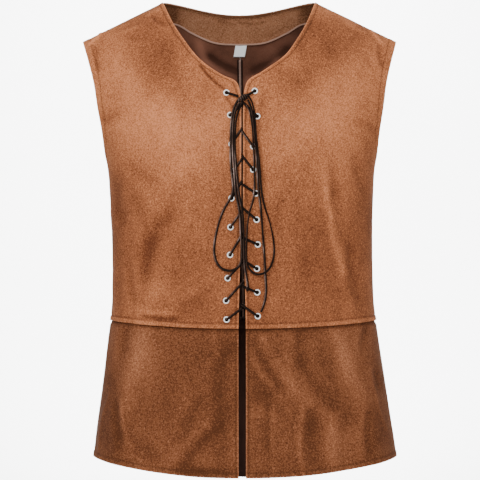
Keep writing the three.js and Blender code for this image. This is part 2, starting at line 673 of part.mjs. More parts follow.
// The free stretches of the bow: across, height and lift over the front, from the knot outwards.
const BOW = {
  lace_loop_right: [
    [-4.6, -146.8, 5], [-8.2, -152, 4.6], [-11.6, -160, OVER], [-13.6, -170, OVER],
    [-15.2, -184, OVER], [-15.8, -203, OVER], [-15.8, -224, OVER], [-15, -243, OVER],
    [-13.2, -258, OVER], [-12.4, -270, OVER], [-14.6, -280.5, OVER], [-19.2, -289, 2.6],
    [-25, -299, 1.6], [-31, -314, ON], [-35.6, -331, ON], [-38.2, -346, ON],
    [-38.8, -358, ON], [-36, -371, ON], [-29, -380.5, 2], [-19, -384, 3.6],
    [-10.5, -382.5, OVER], [-4, -377.4, OVER], [-0.8, -368, OVER], [-0.6, -354, OVER],
    [-1.4, -338, OVER], [-2, -322, OVER], [-2.8, -307, OVER], [-5, -294, OVER],
    [-8, -280, OVER], [-9.6, -265, OVER], [-10.6, -246, OVER], [-12.2, -226, OVER],
    [-12.8, -204, OVER], [-12.3, -184, OVER], [-10.6, -168, 4.4], [-6.8, -157.6, 4.6],
    [-3.1, -151.2, 5.4],
  ],
  lace_loop_left: [
    [8.8, -142.4, 5.2], [12.4, -147.6, 5], [15, -155, 4.4], [17, -165, OVER],
    [18.4, -180, OVER], [19.6, -197, OVER], [21.4, -214, OVER], [23.2, -232, OVER],
    [24.8, -250, OVER], [26.2, -266, OVER], [28.2, -282, OVER], [31.8, -297, 2.4],
    [36.8, -312, 1.5], [41.2, -329, ON], [43.8, -345, ON], [44.4, -358, ON],
    [42.4, -371, 1.6], [37.8, -381, 3.2], [31, -387, OVER], [22.6, -389.2, OVER],
    [14.6, -386.2, 4.4], [8.2, -378.6, OVER], [6, -366, OVER], [6, -350, OVER],
    [6.8, -334, OVER], [8, -318, OVER], [10.4, -303, OVER], [14.4, -290, OVER],
    [17, -276, OVER], [17.4, -262, OVER], [17, -246, OVER], [16.6, -228, OVER],
    [15.4, -208, OVER], [14.2, -190, OVER], [12.6, -174, OVER], [10, -162, 4.4],
    [6.6, -154.2, 5],
  ],
  lace_end_left: [
    [8, -147.4, 4.6], [11.6, -155.6, 4.6], [14.4, -168, OVER], [16.2, -184, OVER],
    [17.8, -202, OVER], [19.6, -220, OVER], [21, -238, OVER], [21.8, -256, OVER],
    [23, -274, OVER], [25.2, -292, OVER], [27, -310, OVER], [28.2, -328, OVER],
    [29.6, -346, 3], [30.8, -362, 1.5], [31.6, -378, ON], [32.6, -394, ON],
    [33.4, -410, ON], [32, -424, ON], [28.6, -435.6, ON], [26, -441.4, ON],
  ],
  lace_end_right: [
    [0.2, -149.4, 4.6], [-3.6, -160, 4.6], [-8, -174, OVER], [-9.5, -190, OVER],
    [-9.9, -208, OVER], [-9.1, -228, OVER], [-7.8, -247, OVER], [-5.8, -264, OVER],
    [-4, -279, OVER], [-1.4, -292, OVER], [0.8, -305, OVER], [2, -320, OVER],
    [2.4, -336, OVER], [2.8, -352, OVER], [3, -366, OVER], [4, -380, OVER],
    [6.2, -393, OVER], [7.8, -404, 4.4], [7.6, -411.6, 4],
  ],
};

// The knot: a flattened round lump that both loops and both ends leave.
function knotGeometry() {
  const lump = new THREE.SphereGeometry(0.5, 12, 8);
  lump.scale(KNOT.length, KNOT.depth, KNOT.width);
  lump.rotateY((-KNOT.tilt * Math.PI) / 180);
  const place = lacePoint([KNOT.x, KNOT.z, KNOT.lift]);
  return lump.translate(place.x, place.y, place.z);
}

// ---------------------------------------------------------------- materials and the group

const standard = (color, roughness, metalness = 0) =>
  new THREE.MeshStandardMaterial({ color, roughness, metalness });
const SUEDE = standard(0xa96b45, 0.95);
const FACING_SUEDE = standard(0x8d5c3d, 0.95);
const LABEL_CLOTH = standard(0xf2f4f2, 0.7);
const NICKEL = standard(0xd9d6cc, 0.3, 1);
const LACE_CORD = standard(0x2b1d18, 0.75);

const vest = new THREE.Group();
vest.name = "renaissance_vest";

function add(name, geometry, material) {
  const mesh = new THREE.Mesh(geometry, material);
  mesh.name = name;
  vest.add(mesh);
}

for (const [name, side] of [["right", -1], ["left", 1]]) {
  const places = eyeletColumn(name);
  add(`front_bodice_${name}`, punchedFront(side, places), SUEDE);
  const back = bodiceSurface("back", side);
  add(`back_bodice_${name}`, clothWall(back, BACK_COLUMNS, BACK_ROWS, bodiceDepth), SUEDE);
  const skirt = skirtSurface("front", side);
  add(`front_skirt_${name}`, clothWall(skirt, FRONT_COLUMNS, skirtRows(), skirtDepth), SUEDE);
  places.forEach((place, i) =>
    add(`eyelet_${name}_${i + 1}`, eyeletGeometry().applyMatrix4(place), NICKEL));
}

const backSkirt = skirtSurface("back", 0);
add("back_skirt", clothWall(backSkirt, mirrored(BACK_COLUMNS), skirtRows(), skirtDepth), SUEDE);

const facingColumns = mirrored(BACK_COLUMNS.slice(0, nearestIn(BACK_COLUMNS, neckCorner) + 2));
add("neck_facing", clothWall(upperBack, facingColumns, FACING_ROWS, linedDepth(FACING)), FACING_SUEDE);
add("neck_label", labelWall(), LABEL_CLOTH);

for (const [name, firstSide] of [["a", -1], ["b", 1]]) {
  const curve = new StationCurve(lacingRoute(firstSide).map(lacePoint));
  add(`lace_lacing_${name}`, laceTube(curve, curve.points.length - 1), LACE_CORD);
}
add("lace_knot", knotGeometry(), LACE_CORD);
for (const [name, route] of Object.entries(BOW)) {
  const curve = new THREE.CatmullRomCurve3(route.map(lacePoint));
  add(name, laceTube(curve, Math.round(curve.getLength() / LACE_STEP)), LACE_CORD);
}

export default vest;
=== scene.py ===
"""A renaissance vest of brown suede, laced up the front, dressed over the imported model.

Lengths in the tables are millimetres; Blender's are metres. Left and right are the wearer's: left is +X.
The worn form's tables repeat the part's own, so each fine shell lies on its solid.
"""

import math

import bpy
import numpy as np
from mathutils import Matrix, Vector


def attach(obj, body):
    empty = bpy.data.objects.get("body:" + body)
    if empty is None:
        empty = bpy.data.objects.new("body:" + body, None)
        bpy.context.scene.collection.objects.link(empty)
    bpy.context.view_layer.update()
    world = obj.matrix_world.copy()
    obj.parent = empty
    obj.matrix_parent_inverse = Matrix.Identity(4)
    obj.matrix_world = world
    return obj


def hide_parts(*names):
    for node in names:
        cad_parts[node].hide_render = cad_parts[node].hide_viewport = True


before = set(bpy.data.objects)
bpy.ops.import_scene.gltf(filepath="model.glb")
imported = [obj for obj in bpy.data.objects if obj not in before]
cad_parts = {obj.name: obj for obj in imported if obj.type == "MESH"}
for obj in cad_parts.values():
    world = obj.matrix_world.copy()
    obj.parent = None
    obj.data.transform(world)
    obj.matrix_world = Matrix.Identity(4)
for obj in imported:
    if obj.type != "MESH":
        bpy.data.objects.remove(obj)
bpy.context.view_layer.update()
MM = 0.001

# ---------------------------------------------------------------- camera

# The view is level, from CAMERA_BACK in front of the side seams.
FRAME_PX = 480  # the picture's width and height
CAMERA_BACK = 3700.0
CAMERA_X = -2.9
CAMERA_Z = -341.6
FOCAL_PX = 2578.0  # focal length in the picture's pixels
SENSOR_WIDTH = 36.0

camera_data = bpy.data.cameras.new("camera")
camera_data.sensor_width = SENSOR_WIDTH
camera_data.lens = SENSOR_WIDTH * FOCAL_PX / FRAME_PX
camera = bpy.data.objects.new("camera", camera_data)
bpy.context.scene.collection.objects.link(camera)
camera.location = (CAMERA_X * MM, -CAMERA_BACK * MM, CAMERA_Z * MM)
camera.rotation_euler = (math.radians(90), 0, 0)
bpy.context.scene.camera = camera

# ---------------------------------------------------------------- the worn form, as in the part

CLOTH = 1.5
SEAM_GAP = 0.3
NECK_HALF = 109.6
SHOULDER_HALF = 225.0
SHOULDER_DROP = 56.6
SHOULDER_ROUND = 200.0
SHOULDER_POWER = 1.8
NECK_SAG = 4.0  # how much lower the right side of the front neckline hangs
NECK_SAG_AT = 34.0
NECK_SAG_REACH = 32.0
NECK_CROWN = 54.0  # how far the form is carried up over the open neck
SECTION_POWER = 2.4  # how square the level sections are
SECTION_ASPECT = 1.55  # their width to depth, which spaces the steps across evenly
UNDERARM_Z = -229.0
WAIST_Z = -455.6
WAIST_DIP = 9.0
HEM_Z = -649.0
FRONT_HEM_DIP = 21.5
BACK_HEM_DIP = 45.5
BACK_NECK_DIP = 12.6
BACK_NECK_POWER = 2
WAIST_LAP = 7.0
TUCK_REACH = 8.0
LEAN_TOP = -4.3  # where the middle of the front lies across, at the top and at the hem
LEAN_HEM = 4.3
FACING = 1.2
FACING_ROW = 0.8
FACING_REACH = 0.575  # share of the back panel where the facing ends, past the neck
FOLD_GROWTH = 130.0  # distance below a fold's top where it has its full depth
FOLD_FADE = 3  # how steeply the folds rise from nothing at the side seam

BODY = [  # level sections: height, half the width, stand-off in front and behind
    dict(z=-700, half=223, front=147, back=142),
    dict(z=-649, half=217, front=142, back=137),
    dict(z=-600, half=210, front=137, back=131),
    dict(z=-540, half=201.5, front=131, back=125),
    dict(z=-490, half=194.5, front=126, back=120),
    dict(z=-455.6, half=190, front=124, back=117),
    dict(z=-420, half=187, front=123, back=114),
    dict(z=-340, half=186.5, front=126, back=115),
    dict(z=-280, half=188.5, front=129, back=119),
    dict(z=-229, half=193, front=129, back=122),
    dict(z=-188, half=206.8, front=127, back=124),
    dict(z=-154, half=219.8, front=124, back=123),
    dict(z=-120, half=232.4, front=120, back=121),
    dict(z=-85, half=244.6, front=117, back=117),
    dict(z=-57, half=255, front=114, back=113),
    dict(z=0, half=270, front=110, back=108),
]
CLOSURE = [  # half of the gap between the two fronts
    dict(z=-700, gap=5), dict(z=-460, gap=5.2), dict(z=-400, gap=4), dict(z=-350, gap=2.4),
    dict(z=-310, gap=1.5), dict(z=-229, gap=1.45), dict(z=-155, gap=1.45),
]
FRONT_NECK = [  # front neckline from the top of the closure to the shoulder
    dict(x=1.45, z=-229), dict(x=1.45, z=-190), dict(x=1.45, z=-155), dict(x=3.3, z=-133),
    dict(x=9, z=-119), dict(x=28, z=-107.5), dict(x=61.5, z=-83.6), dict(x=78.6, z=-61),
    dict(x=94.7, z=-34.4), dict(x=NECK_HALF, z=0),
]
ARMHOLE = [  # armhole edge from the underarm to the shoulder
    dict(x=193, z=UNDERARM_Z), dict(x=196.7, z=-188), dict(x=202.3, z=-154),
    dict(x=207.3, z=-120), dict(x=216, z=-85.4), dict(x=SHOULDER_HALF, z=-SHOULDER_DROP),
]
FACING_EDGE = [  # lower edge of the neck facing, and on to the armhole
    dict(x=0, z=-53.7), dict(x=38, z=-51.4), dict(x=73, z=-38.5), dict(x=97.5, z=-26.5),
    dict(x=130, z=-27), dict(x=SHOULDER_HALF, z=-90),
]
FOLDS = [  # the largest soft folds of the skirt
    dict(face="front", x=-168, top=-480, slant=-0.1, width=20, depth=4.5),
    dict(face="front", x=-70, top=-500, slant=0.02, width=30, depth=3),
    dict(face="front", x=62, top=-470, slant=0.12, width=26, depth=3.5),
    dict(face="front", x=128, top=-480, slant=0.1, width=22, depth=-3),
    dict(face="front", x=172, top=-490, slant=0.1, width=16, depth=4.5),
    dict(face="back", x=-120, top=-480, slant=-0.1, width=28, depth=5),
    dict(face="back", x=-35, top=-490, slant=-0.02, width=26, depth=4),
    dict(face="back", x=50, top=-480, slant=0.05, width=30, depth=5),
    dict(face="back", x=140, top=-490, slant=0.1, width=24, depth=4),
]
EYELETS = [  # pairs from the neck down, on the wearer's right (-X) and left (+X)
    dict(right=(-21.7, -137), left=(17.6, -134.7)),
    dict(right=(-16.7, -168.3), left=(21, -170)),
    dict(right=(-14.6, -208.6), left=(15.3, -211.9)),
    dict(right=(-12, -246.2), left=(15.3, -244.1)),
    dict(right=(-14.7, -283.7), left=(19.2, -277)),
    dict(right=(-16.1, -323.8), left=(20.1, -313.4)),
    dict(right=(-16.7, -362.2), left=(21.7, -347.8)),
    dict(right=(-20, -394.6), left=(20.5, -381.4)),
    dict(right=(-22.2, -425.8), left=(21, -414.3)),
    dict(right=(-21.5, -452), left=(21.7, -447.2)),
]
KNOT = dict(x=1.8, z=-144.5, lift=4.6, length=13.0, tilt=27.0)


def mix(a, b, share):
    return a + (b - a) * share


def smoothstep(t):
    c = np.clip(t, 0.0, 1.0)
    return c * c * (3 - 2 * c)


def hump(distance, width):
    """A smooth bump: 1 where the distance is 0, and gone at about twice the width."""
    return np.exp(-((distance / width) ** 2))


def read_table(rows, key, column, at):
    """A column of a table at values of its key, by a smooth curve through the rows."""
    keys = np.array([row[key] for row in rows], float)
    values = np.array([row[column] for row in rows], float)
    last = len(rows) - 1
    at = np.clip(np.asarray(at, float), keys[0], keys[-1])
    i = np.clip(np.searchsorted(keys, at, side="left") - 1, 0, last - 1)
    low, high = np.maximum(np.arange(last + 1) - 1, 0), np.minimum(np.arange(last + 1) + 1, last)
    slope = (values[high] - values[low]) / (keys[high] - keys[low])
    span = keys[i + 1] - keys[i]
    t = (at - keys[i]) / span
    rise = values[i + 1] - values[i]
    bend = t * (1 - t) * ((1 - t) * (slope[i] * span - rise) - t * (slope[i + 1] * span - rise))
    return values[i] + rise * t + bend


def curve_through(rows):
    """A curve in front view through a table's points; its share runs from 0 to 1 by length."""
    marked, length = [], 0.0
    for i, row in enumerate(rows):
        if i:
            length += math.hypot(row["x"] - rows[i - 1]["x"], row["z"] - rows[i - 1]["z"])
        marked.append(dict(row, length=length))
    return lambda share: (
        read_table(marked, "length", "x", share * length),
        read_table(marked, "length", "z", share * length),
    )


front_neck = curve_through(FRONT_NECK)
armhole = curve_through(ARMHOLE)


def half_width_at(z):
    return read_table(BODY, "z", "half", z)


def gap_at(z):
    return read_table(CLOSURE, "z", "gap", z)


def lean_at(z):
    return mix(LEAN_TOP, LEAN_HEM, z / HEM_Z)


def shoulder_line(x):
    """Height of the shoulder line over a place across, carried smoothly over the neck."""
    slope = SHOULDER_DROP / (SHOULDER_HALF - NECK_HALF)
    spread = np.minimum(1.0, (x / NECK_HALF) ** 2)
    over_neck = (1 - spread) * mix(NECK_CROWN, slope * NECK_HALF / 2, spread)
    return np.where(np.abs(x) > NECK_HALF, slope * (NECK_HALF - np.abs(x)), over_neck)


def fold_at(face, x, z):
    total = np.zeros(np.broadcast(x, z).shape)
    for fold in FOLDS:
        if fold["face"] == face:
            below = fold["top"] - z
            off = (x - fold["x"] - fold["slant"] * below) / fold["width"]
            total = total + fold["depth"] * hump(off, 1) * smoothstep(below / FOLD_GROWTH)
    return total


def on_form(face, x, z):
    """Places on the outside of the worn form; x is measured from the leaning middle."""
    across = np.minimum(1.0, np.abs(x) / half_width_at(z))
    lateral = (1 - across**SECTION_POWER) ** (1 / SECTION_POWER)
    below = np.clip((shoulder_line(x) - z) / SHOULDER_ROUND, 0.0, 1.0)
    rounded = (1 - (1 - below) ** SHOULDER_POWER) ** (1 / SHOULDER_POWER)
    stand_off = read_table(BODY, "z", face, z) * lateral * rounded
    stand_off = stand_off + fold_at(face, x, z) * smoothstep(lateral * FOLD_FADE)
    outward = -1 if face == "front" else 1
    return np.stack([x + lean_at(z), outward * (SEAM_GAP / 2 + stand_off), z + 0 * x], axis=-1)


def share_across(turn):
    angle = turn * math.pi / 2
    s, c = np.sin(angle), np.cos(angle) * SECTION_ASPECT
    return s / (s**SECTION_POWER + c**SECTION_POWER) ** (1 / SECTION_POWER)


def dip(at_centre, share):
    return -at_centre * (1 - share**2)


def inner_edge(face, side, z):
    return gap_at(z) - side * lean_at(z) if face == "front" else SEAM_GAP / 2


def lower_bodice(face, side, share, row):
    level = mix(WAIST_Z, UNDERARM_Z, row)
    x = mix(inner_edge(face, side, level), half_width_at(level), share)
    return on_form(face, side * x, level + (1 - row) * dip(WAIST_DIP, share))


def upper_front(side, share, row):
    inner_x, inner_z = front_neck(row)
    outer_x, outer_z = armhole(row)
    to_middle = side * lean_at(inner_z) * (1 - inner_x / NECK_HALF)
    x = mix(inner_x - to_middle, outer_x, share)
    if side < 0:
        inner_z = inner_z - NECK_SAG * np.maximum(0, 1 - ((inner_x - NECK_SAG_AT) / NECK_SAG_REACH) ** 2)
    return on_form("front", side * x, mix(inner_z, outer_z, share))


def back_top(x):
    sag = np.maximum(0, 1 - (x / NECK_HALF) ** 2) ** BACK_NECK_POWER
    return np.where(x < NECK_HALF, -BACK_NECK_DIP * sag, shoulder_line(x))


def upper_back(side, share, row):
    outer_x, outer_z = armhole(row)
    x = side * mix(SEAM_GAP / 2, outer_x, share)

    def height_at(across):
        edge = read_table(FACING_EDGE, "x", "z", across)
        return np.where(
            row < FACING_ROW,
            mix(UNDERARM_Z, edge, row / FACING_ROW),
            mix(edge, back_top(across), (row - FACING_ROW) / (1 - FACING_ROW)),
        )

    to_armhole = (outer_z - height_at(SHOULDER_HALF)) * share**2
    return on_form("back", x, height_at(share * SHOULDER_HALF) + to_armhole)


def bodice_surface(face, side):
    def surface(share, row):
        low = lower_bodice(face, side, share, np.minimum(row, 1.0))
        over = np.maximum(row - 1.0, 0.0)
        high = upper_front(side, share, over) if face == "front" else upper_back(side, share, over)
        return np.where((row < 1.0)[..., None], low, high)

    return surface


def skirt_surface(face, side):
    top = WAIST_Z + WAIST_LAP
    hem_dip = FRONT_HEM_DIP if face == "front" else BACK_HEM_DIP

    def surface(share, row):
        level = mix(HEM_Z, top, row)
        inner = 0.0 if side == 0 else inner_edge(face, side, level)
        x = np.where(share < 0, -1.0, 1.0) * mix(inner, half_width_at(level), np.abs(share))
        z = level + mix(dip(hem_dip, share), dip(WAIST_DIP, share), row)
        return on_form(face, (side or 1) * x, z)

    return surface


# ---------------------------------------------------------------- fine relief of the cloth

LATTICE = 64  # points a side of the noise's lattice, which then repeats
LATTICE_START = (500.3, 500.7)  # keeps every index above zero


def soft_noise(x, z, size, seed):
    """Smooth noise from -1 to 1 with bumps about size mm across."""
    lattice = np.random.default_rng(seed).uniform(-1, 1, (LATTICE, LATTICE))
    u, v = x / size + LATTICE_START[0], z / size + LATTICE_START[1]
    i, j = np.floor(u).astype(int), np.floor(v).astype(int)
    s, t = smoothstep(u - i), smoothstep(v - j)
    at = lambda a, b: lattice[a % LATTICE, b % LATTICE]
    low = mix(at(i, j), at(i + 1, j), s)
    high = mix(at(i, j + 1), at(i + 1, j + 1), s)
    return mix(low, high, t)


# Creases and soft folds. The columns: one end and the other in front view (wearer's left is +x), half width,
# depth of the valley (below zero for a ridge), and shade, the painted shade along a sharp one (below zero, a
# painted highlight along a ridge).
CREASES = {  # from x, z, to x, z, width, depth, shade
    "front": [
        # beside the neckline and the lacing
        (-57, -100, -25, -132, 2.0, 2.6, 0.22),
        (-21, -144, -11, -158, 2.0, 1.8, 0.2),
        (8, -156, 8.5, -292, 1.9, 1.3, 0.1),
        (14, -160, 13, -300, 2.2, 0.9, 0),
        (27, -150, 27.5, -262, 4, 1.1, 0.08),
        (-23, -190, -24, -262, 3, 0.7, 0),
        (-7, -170, -8, -240, 1.8, 0.6, 0),
        # shoulders and armholes
        (-217, -62, -203, -47, 2.2, -1.7, -0.2),
        (-208, -72, -204, -98, 3.5, 1.6, 0.1),
        (-168, -46, -150, -40, 2.6, -1.4, -0.08),
        (-160, -54, -138, -58, 3, 1.2, 0.06),
        (-128, -24, -110, -36, 3, 1.5, 0.08),
        (-118, -14, -132, -20, 2.4, -1.2, -0.08),
        (186, -44, 199, -60, 2.2, -1.8, -0.22),
        (196, -66, 198, -92, 3.2, 1.6, 0.1),
        (150, -34, 176, -46, 3, -1.0, -0.05),
        (-150, -76, -112, -142, 16, 1.1, 0),
        (-112, -66, -80, -146, 16, 1.2, 0),
        (156, -62, 92, -112, 16, 1.5, 0),
        (96, -44, 86, -72, 9, 1.2, 0),
        (-204, -172, -176, -165, 7, 1.8, 0),
        (186, -186, 166, -176, 7, 1.5, 0),
        # chest and sides
        (-179, -262, -169, -308, 9, 2.0, 0),
        (-148, -244, -126, -258, 8, 1.1, 0),
        (-72, -264, -104, -308, 14, 1.2, 0),
        (-104, -308, -128, -346, 11, 1.5, 0),
        (-128, -346, -134, -386, 8, 1.8, 0.05),
        (-98, -330, -120, -410, 13, -1.0, 0),
        (-156, -386, -152, -424, 4, 1.4, 0),
        (-46, -414, -76, -438, 8, 1.4, 0),
        (-142, -440, -102, -442, 4, -1.2, -0.1),
        (-136, -447.5, -92, -451, 2.6, 1.5, 0.22),
        (128, -238, 130, -276, 8, 2.0, 0),
        (117, -256, 123, -306, 5, -1.3, -0.07),
        (123, -306, 141, -384, 5, -1.4, -0.07),
        (130, -272, 152, -358, 9, 1.5, 0),
        (152, -354, 165, -428, 7, 1.9, 0),
        (158, -230, 169, -270, 6, 1.4, 0),
        (97, -348, 88, -396, 16, 0.9, 0),
        (50, -290, 46, -322, 9, 1.0, 0),
        # front of the skirt
        (-160, -462, -166, -496, 6, 1.7, 0),
        (-132, -468, -164, -570, 13, -1.9, 0),
        (-176, -574, -169, -632, 4.4, 1.5, 0.05),
        (-169, -568, -160, -622, 3, -1.3, -0.07),
        (-189, -562, -203, -636, 2.4, -1.4, 0),
        (-154, -618, -124, -644, 9, 1.3, 0),
        (-20, -494, -34, -546, 9, 1.2, 0.03),
        (-32, -560, -27, -606, 9, 1.0, 0.02),
        (-60, -566, -80, -612, 8, 1.1, 0.03),
        (-56, -600, -98, -650, 8, -0.8, 0),
        (-38, -606, -78, -648, 7, 1.6, 0.08),
        (18, -486, 52, -542, 5.5, 1.1, 0.05),
        (27, -474, 68, -540, 6.5, -0.8, -0.04),
        (66, -540, 114, -582, 8, -0.6, 0),
        (19, -514, 38, -540, 4, -1.0, -0.07),
        (80, -472, 82, -510, 8, 1.1, 0.04),
        (84, -512, 122, -566, 10, 1.4, 0.05),
        (132, -476, 164, -560, 13, -2.0, 0),
        (174, -468, 171, -492, 5, 1.6, 0),
        (189, -528, 194, -550, 4, 2.0, 0),
        (188, -556, 204, -606, 1.9, -1.5, 0),
        (178, -584, 178, -636, 5, 1.8, 0.05),
        (84, -576, 83, -662, 4, -1.3, -0.06),
        (45, -578, 45, -662, 4, -0.8, -0.04),
        (38, -560, 39, -640, 3.4, 0.8, 0.05),
        (97, -584, 96, -640, 8, 1.3, 0.03),
        (127, -594, 127, -644, 10, -1.6, 0),
    ],
    "facing": [
        (4, -15, 40, -11, 1.6, 0.8, 0.3),
        (-2, -22, 34, -21, 2.0, 0.9, 0.3),
        (-40, -16, -14, -24, 3.0, 0.6, 0.14),
        (36, -40, 62, -30, 2.4, 0.6, 0.16),
    ],
    "back": [
        # the first four show inside the neck, and the rest are drawn in the same way
        (-46, -72, -10, -92, 5, -2.6, 0),
        (-62, -58, -44, -98, 7, 2.2, 0),
        (12, -108, 52, -78, 6, 2.8, 0),
        (20, -92, 66, -62, 6, -2.2, 0),
        (-184, -204, -110, -150, 12, 2.0, 0),
        (182, -198, 116, -156, 12, 1.8, 0),
        (-100, -110, -70, -200, 14, 1.6, 0),
        (96, -104, 74, -210, 14, 1.4, 0),
        (-180, -256, -168, -316, 9, 1.9, 0),
        (176, -262, 160, -330, 8, 1.8, 0),
        (-96, -270, -132, -384, 11, 2.5, 0),
        (90, -290, 136, -392, 10, 2.3, 0),
        (-156, -392, -150, -436, 5, 1.5, 0),
        (62, -404, 82, -440, 9, 1.5, 0),
        (-46, -396, -30, -450, 10, 1.3, 0),
        (-58, -326, -24, -352, 12, 1.2, 0),
        (-80, -470, -92, -640, 13, 2.6, 0),
        (-136, -476, -160, -590, 11, -2.2, 0),
        (8, -484, 14, -664, 12, 2.2, 0),
        (52, -480, 60, -600, 10, -1.6, 0),
        (96, -474, 108, -640, 13, 2.6, 0),
        (150, -476, 168, -600, 10, -2.2, 0),
        (-176, -482, -190, -622, 8, 1.8, 0),
        (178, -486, 190, -620, 8, 1.8, 0),
    ],
}
CREASE_SHADE_PER_MM = 0.07  # painted shade: how much darker each millimetre of a valley is painted
INNER_CREASE_SHADE_PER_MM = 0.10  # and the painted light and shade on the wrong side, where a valley is a ridge
CREASE_BOW = 0.05  # how far a crease bows sideways, as a share of its length
CREASE_FADE = 1.5  # how many half widths past its ends it fades out
CREASE_LIP = 0.4  # height of the lip along one side of it, as a share of its depth
CREASE_LIP_AT = 1.9  # and how many half widths out this stands


def crease_relief(face, x, z):
    """The relief of a face's creases, and the painted shade along the sharp ones."""
    relief, shade = np.zeros(x.shape), np.zeros(x.shape)
    for ax, az, bx, bz, width, depth, line_shade in CREASES[face]:
        length = math.hypot(bx - ax, bz - az)
        ux, uz = (bx - ax) / length, (bz - az) / length
        along = (x - ax) * ux + (z - az) * uz
        off = (x - ax) * uz - (z - az) * ux
        bow = CREASE_BOW * length * np.sin(np.clip(along / length, 0, 1) * math.pi)
        off = (off - bow) / width
        past_end = np.maximum(np.maximum(-along, along - length), 0)
        reach = hump(past_end, CREASE_FADE * width)
        relief -= depth * (hump(off, 1) - CREASE_LIP * hump(off - CREASE_LIP_AT, 1)) * reach
        # painted shade along the crease's line, and painted light where it is below zero
        shade += line_shade * hump(off, 1) * reach
    return np.array([relief, shade])


# Each of the next three gives the relief and the painted light and shade along an edge, by distance from it.
TURN = dict(past=0.8, over=1.8, drawn=0.8, tone=0.24)  # where a turning ends, and its stitch line; its tone is the painted shade along that line
RIM_HIGHLIGHT = dict(worn=1.3, tone=0.4)  # painted highlight along the rim of a turning: its width (worn) and tone
SEAM = dict(width=1.3, depth=0.9, tone=0.3)  # the valley that a seam pulls in; its tone is painted shade
SWELL = dict(at=3.0, width=2.0, height=0.25, tone=0.05)  # and the cloth that swells beside it; its tone is painted light
WELT = 5.8  # width of the bodice's edge over the skirt
# The welt's tones: painted light on its raised edge, painted shade along its stitch line.
WELT_RAISED = dict(height=0.8, past=0.8, over=1.6, tone=0.14)
WELT_STITCHED = dict(past=1.2, width=1.1, depth=0.5, tone=0.16)
PUCKER = dict(height=0.12, pitch=3.1, drift=17, reach=3.0)


def turned_edge(distance, width, height):
    """Folded in and topstitched: plump up to the stitch line, which draws in, with painted shade along the
    stitch line and a painted highlight along the rim.
    """
    stitch_line = hump(distance - width, 1)
    relief = height * smoothstep((width + TURN["past"] - distance) / TURN["over"])
    relief = relief - TURN["drawn"] * height * stitch_line
    return np.array([relief, RIM_HIGHLIGHT["tone"] * hump(distance, RIM_HIGHLIGHT["worn"]) - TURN["tone"] * stitch_line])


def seam_valley(distance):
    """Pulled in along the seam, with a soft swell beside it; painted shade in the valley and painted light
    on the swell.
    """
    valley, swell = hump(distance, SEAM["width"]), hump(distance - SWELL["at"], SWELL["width"])
    relief = SWELL["height"] * swell - SEAM["depth"] * valley
    return np.array([relief, SWELL["tone"] * swell - SEAM["tone"] * valley])


def waist_welt(distance, along):
    """The bodice's edge lapped over the skirt, puckered a little by its stitching; painted light on its
    raised edge and painted shade along its stitch line.
    """
    raised = smoothstep((WELT + WELT_RAISED["past"] - distance) / WELT_RAISED["over"])
    stitch_line = hump(distance - WELT - WELT_STITCHED["past"], WELT_STITCHED["width"])
    wave = np.sin(along / PUCKER["pitch"] + 2 * np.sin(along / PUCKER["drift"]))
    relief = WELT_RAISED["height"] * raised - WELT_STITCHED["depth"] * stitch_line
    relief = relief + PUCKER["height"] * wave * hump(distance - WELT, PUCKER["reach"])
    return np.array([relief, WELT_RAISED["tone"] * raised - WELT_STITCHED["tone"] * stitch_line])


# ---------------------------------------------------------------- meshes


def unit(vectors):
    """The vectors' directions, each of length 1."""
    return vectors / np.maximum(np.linalg.norm(vectors, axis=-1, keepdims=True), 1e-9)


def lengths_along(line):
    """How far along a line each of its points lies."""
    return np.concatenate([[0], np.cumsum(np.linalg.norm(np.diff(line, axis=0), axis=1))])


def stay_on_side(points, side):
    """Keeps points clear of the plane between the fronts and the back."""
    points[..., 1] = side * np.maximum(side * points[..., 1], SEAM_GAP / 2)


# Less far across, in the middle of the depth and lower than a point on the form is a point inside it.
INSIDE_SHARE = np.array([0.7, 0.0, 1.0])
INSIDE_LOWER = np.array([0.0, 0.0, 40.0])


def grid_normals(points):
    """Directions square to a grid of points, all pointing out of the form."""
    across, along = np.gradient(points, axis=1), np.gradient(points, axis=0)
    normal = unit(np.cross(across, along))
    inside = points * INSIDE_SHARE - INSIDE_LOWER
    outward = np.sum(normal * (points - inside), axis=-1, keepdims=True)
    return np.where(outward < 0, -normal, normal)


def arc_lengths(points, axis):
    """How far along its line, from the first point, each point of a grid lies."""
    steps = np.linalg.norm(np.diff(points, axis=axis), axis=-1)
    zero = np.zeros_like(np.take(steps, [0], axis=axis))
    return np.concatenate([zero, np.cumsum(steps, axis=axis)], axis=axis)


def add_mesh(name, vertices, faces, materials, material_index=None, smooth=True):
    mesh = bpy.data.meshes.new(name)
    mesh.from_pydata((np.asarray(vertices) * MM).tolist(), [], faces)
    for material in materials:
        mesh.materials.append(material)
    if material_index is not None:
        mesh.polygons.foreach_set("material_index", np.asarray(material_index, np.int32))
    mesh.polygons.foreach_set("use_smooth", [smooth] * len(mesh.polygons))
    mesh.update()
    piece = bpy.data.objects.new(name, mesh)
    bpy.context.scene.collection.objects.link(piece)
    return piece


def set_attribute(piece, name, values):
    """A number for each vertex of a piece, which its material reads."""
    attribute = piece.data.attributes.new(name, "FLOAT", "POINT")
    attribute.data.foreach_set("value", np.asarray(values, np.float32).ravel())


def vertex_points(piece):
    points = np.empty(3 * len(piece.data.vertices))
    piece.data.vertices.foreach_get("co", points)
    return points.reshape(-1, 3) / MM


def signed_volume(vertices, faces):
    """A measure of what four-sided faces enclose, below zero where they face inwards."""
    a, b, c, d = (vertices[faces[:, k]] for k in range(4))
    return np.sum(a * np.cross(b, c)) + np.sum(a * np.cross(c, d))


def marks(length, fine, reach_low, reach_high, coarse):
    """Shares from 0 to 1 with steps of fine mm near the ends and of coarse mm between."""
    places, at = [0.0], 0.0
    while at < length:
        near = at < reach_low or length - at < reach_high
        at += fine if near else coarse
        places.append(at)
    return np.array(places) / at


RIM_BULGE = 0.12  # how far a shell's cut edge is rounded out


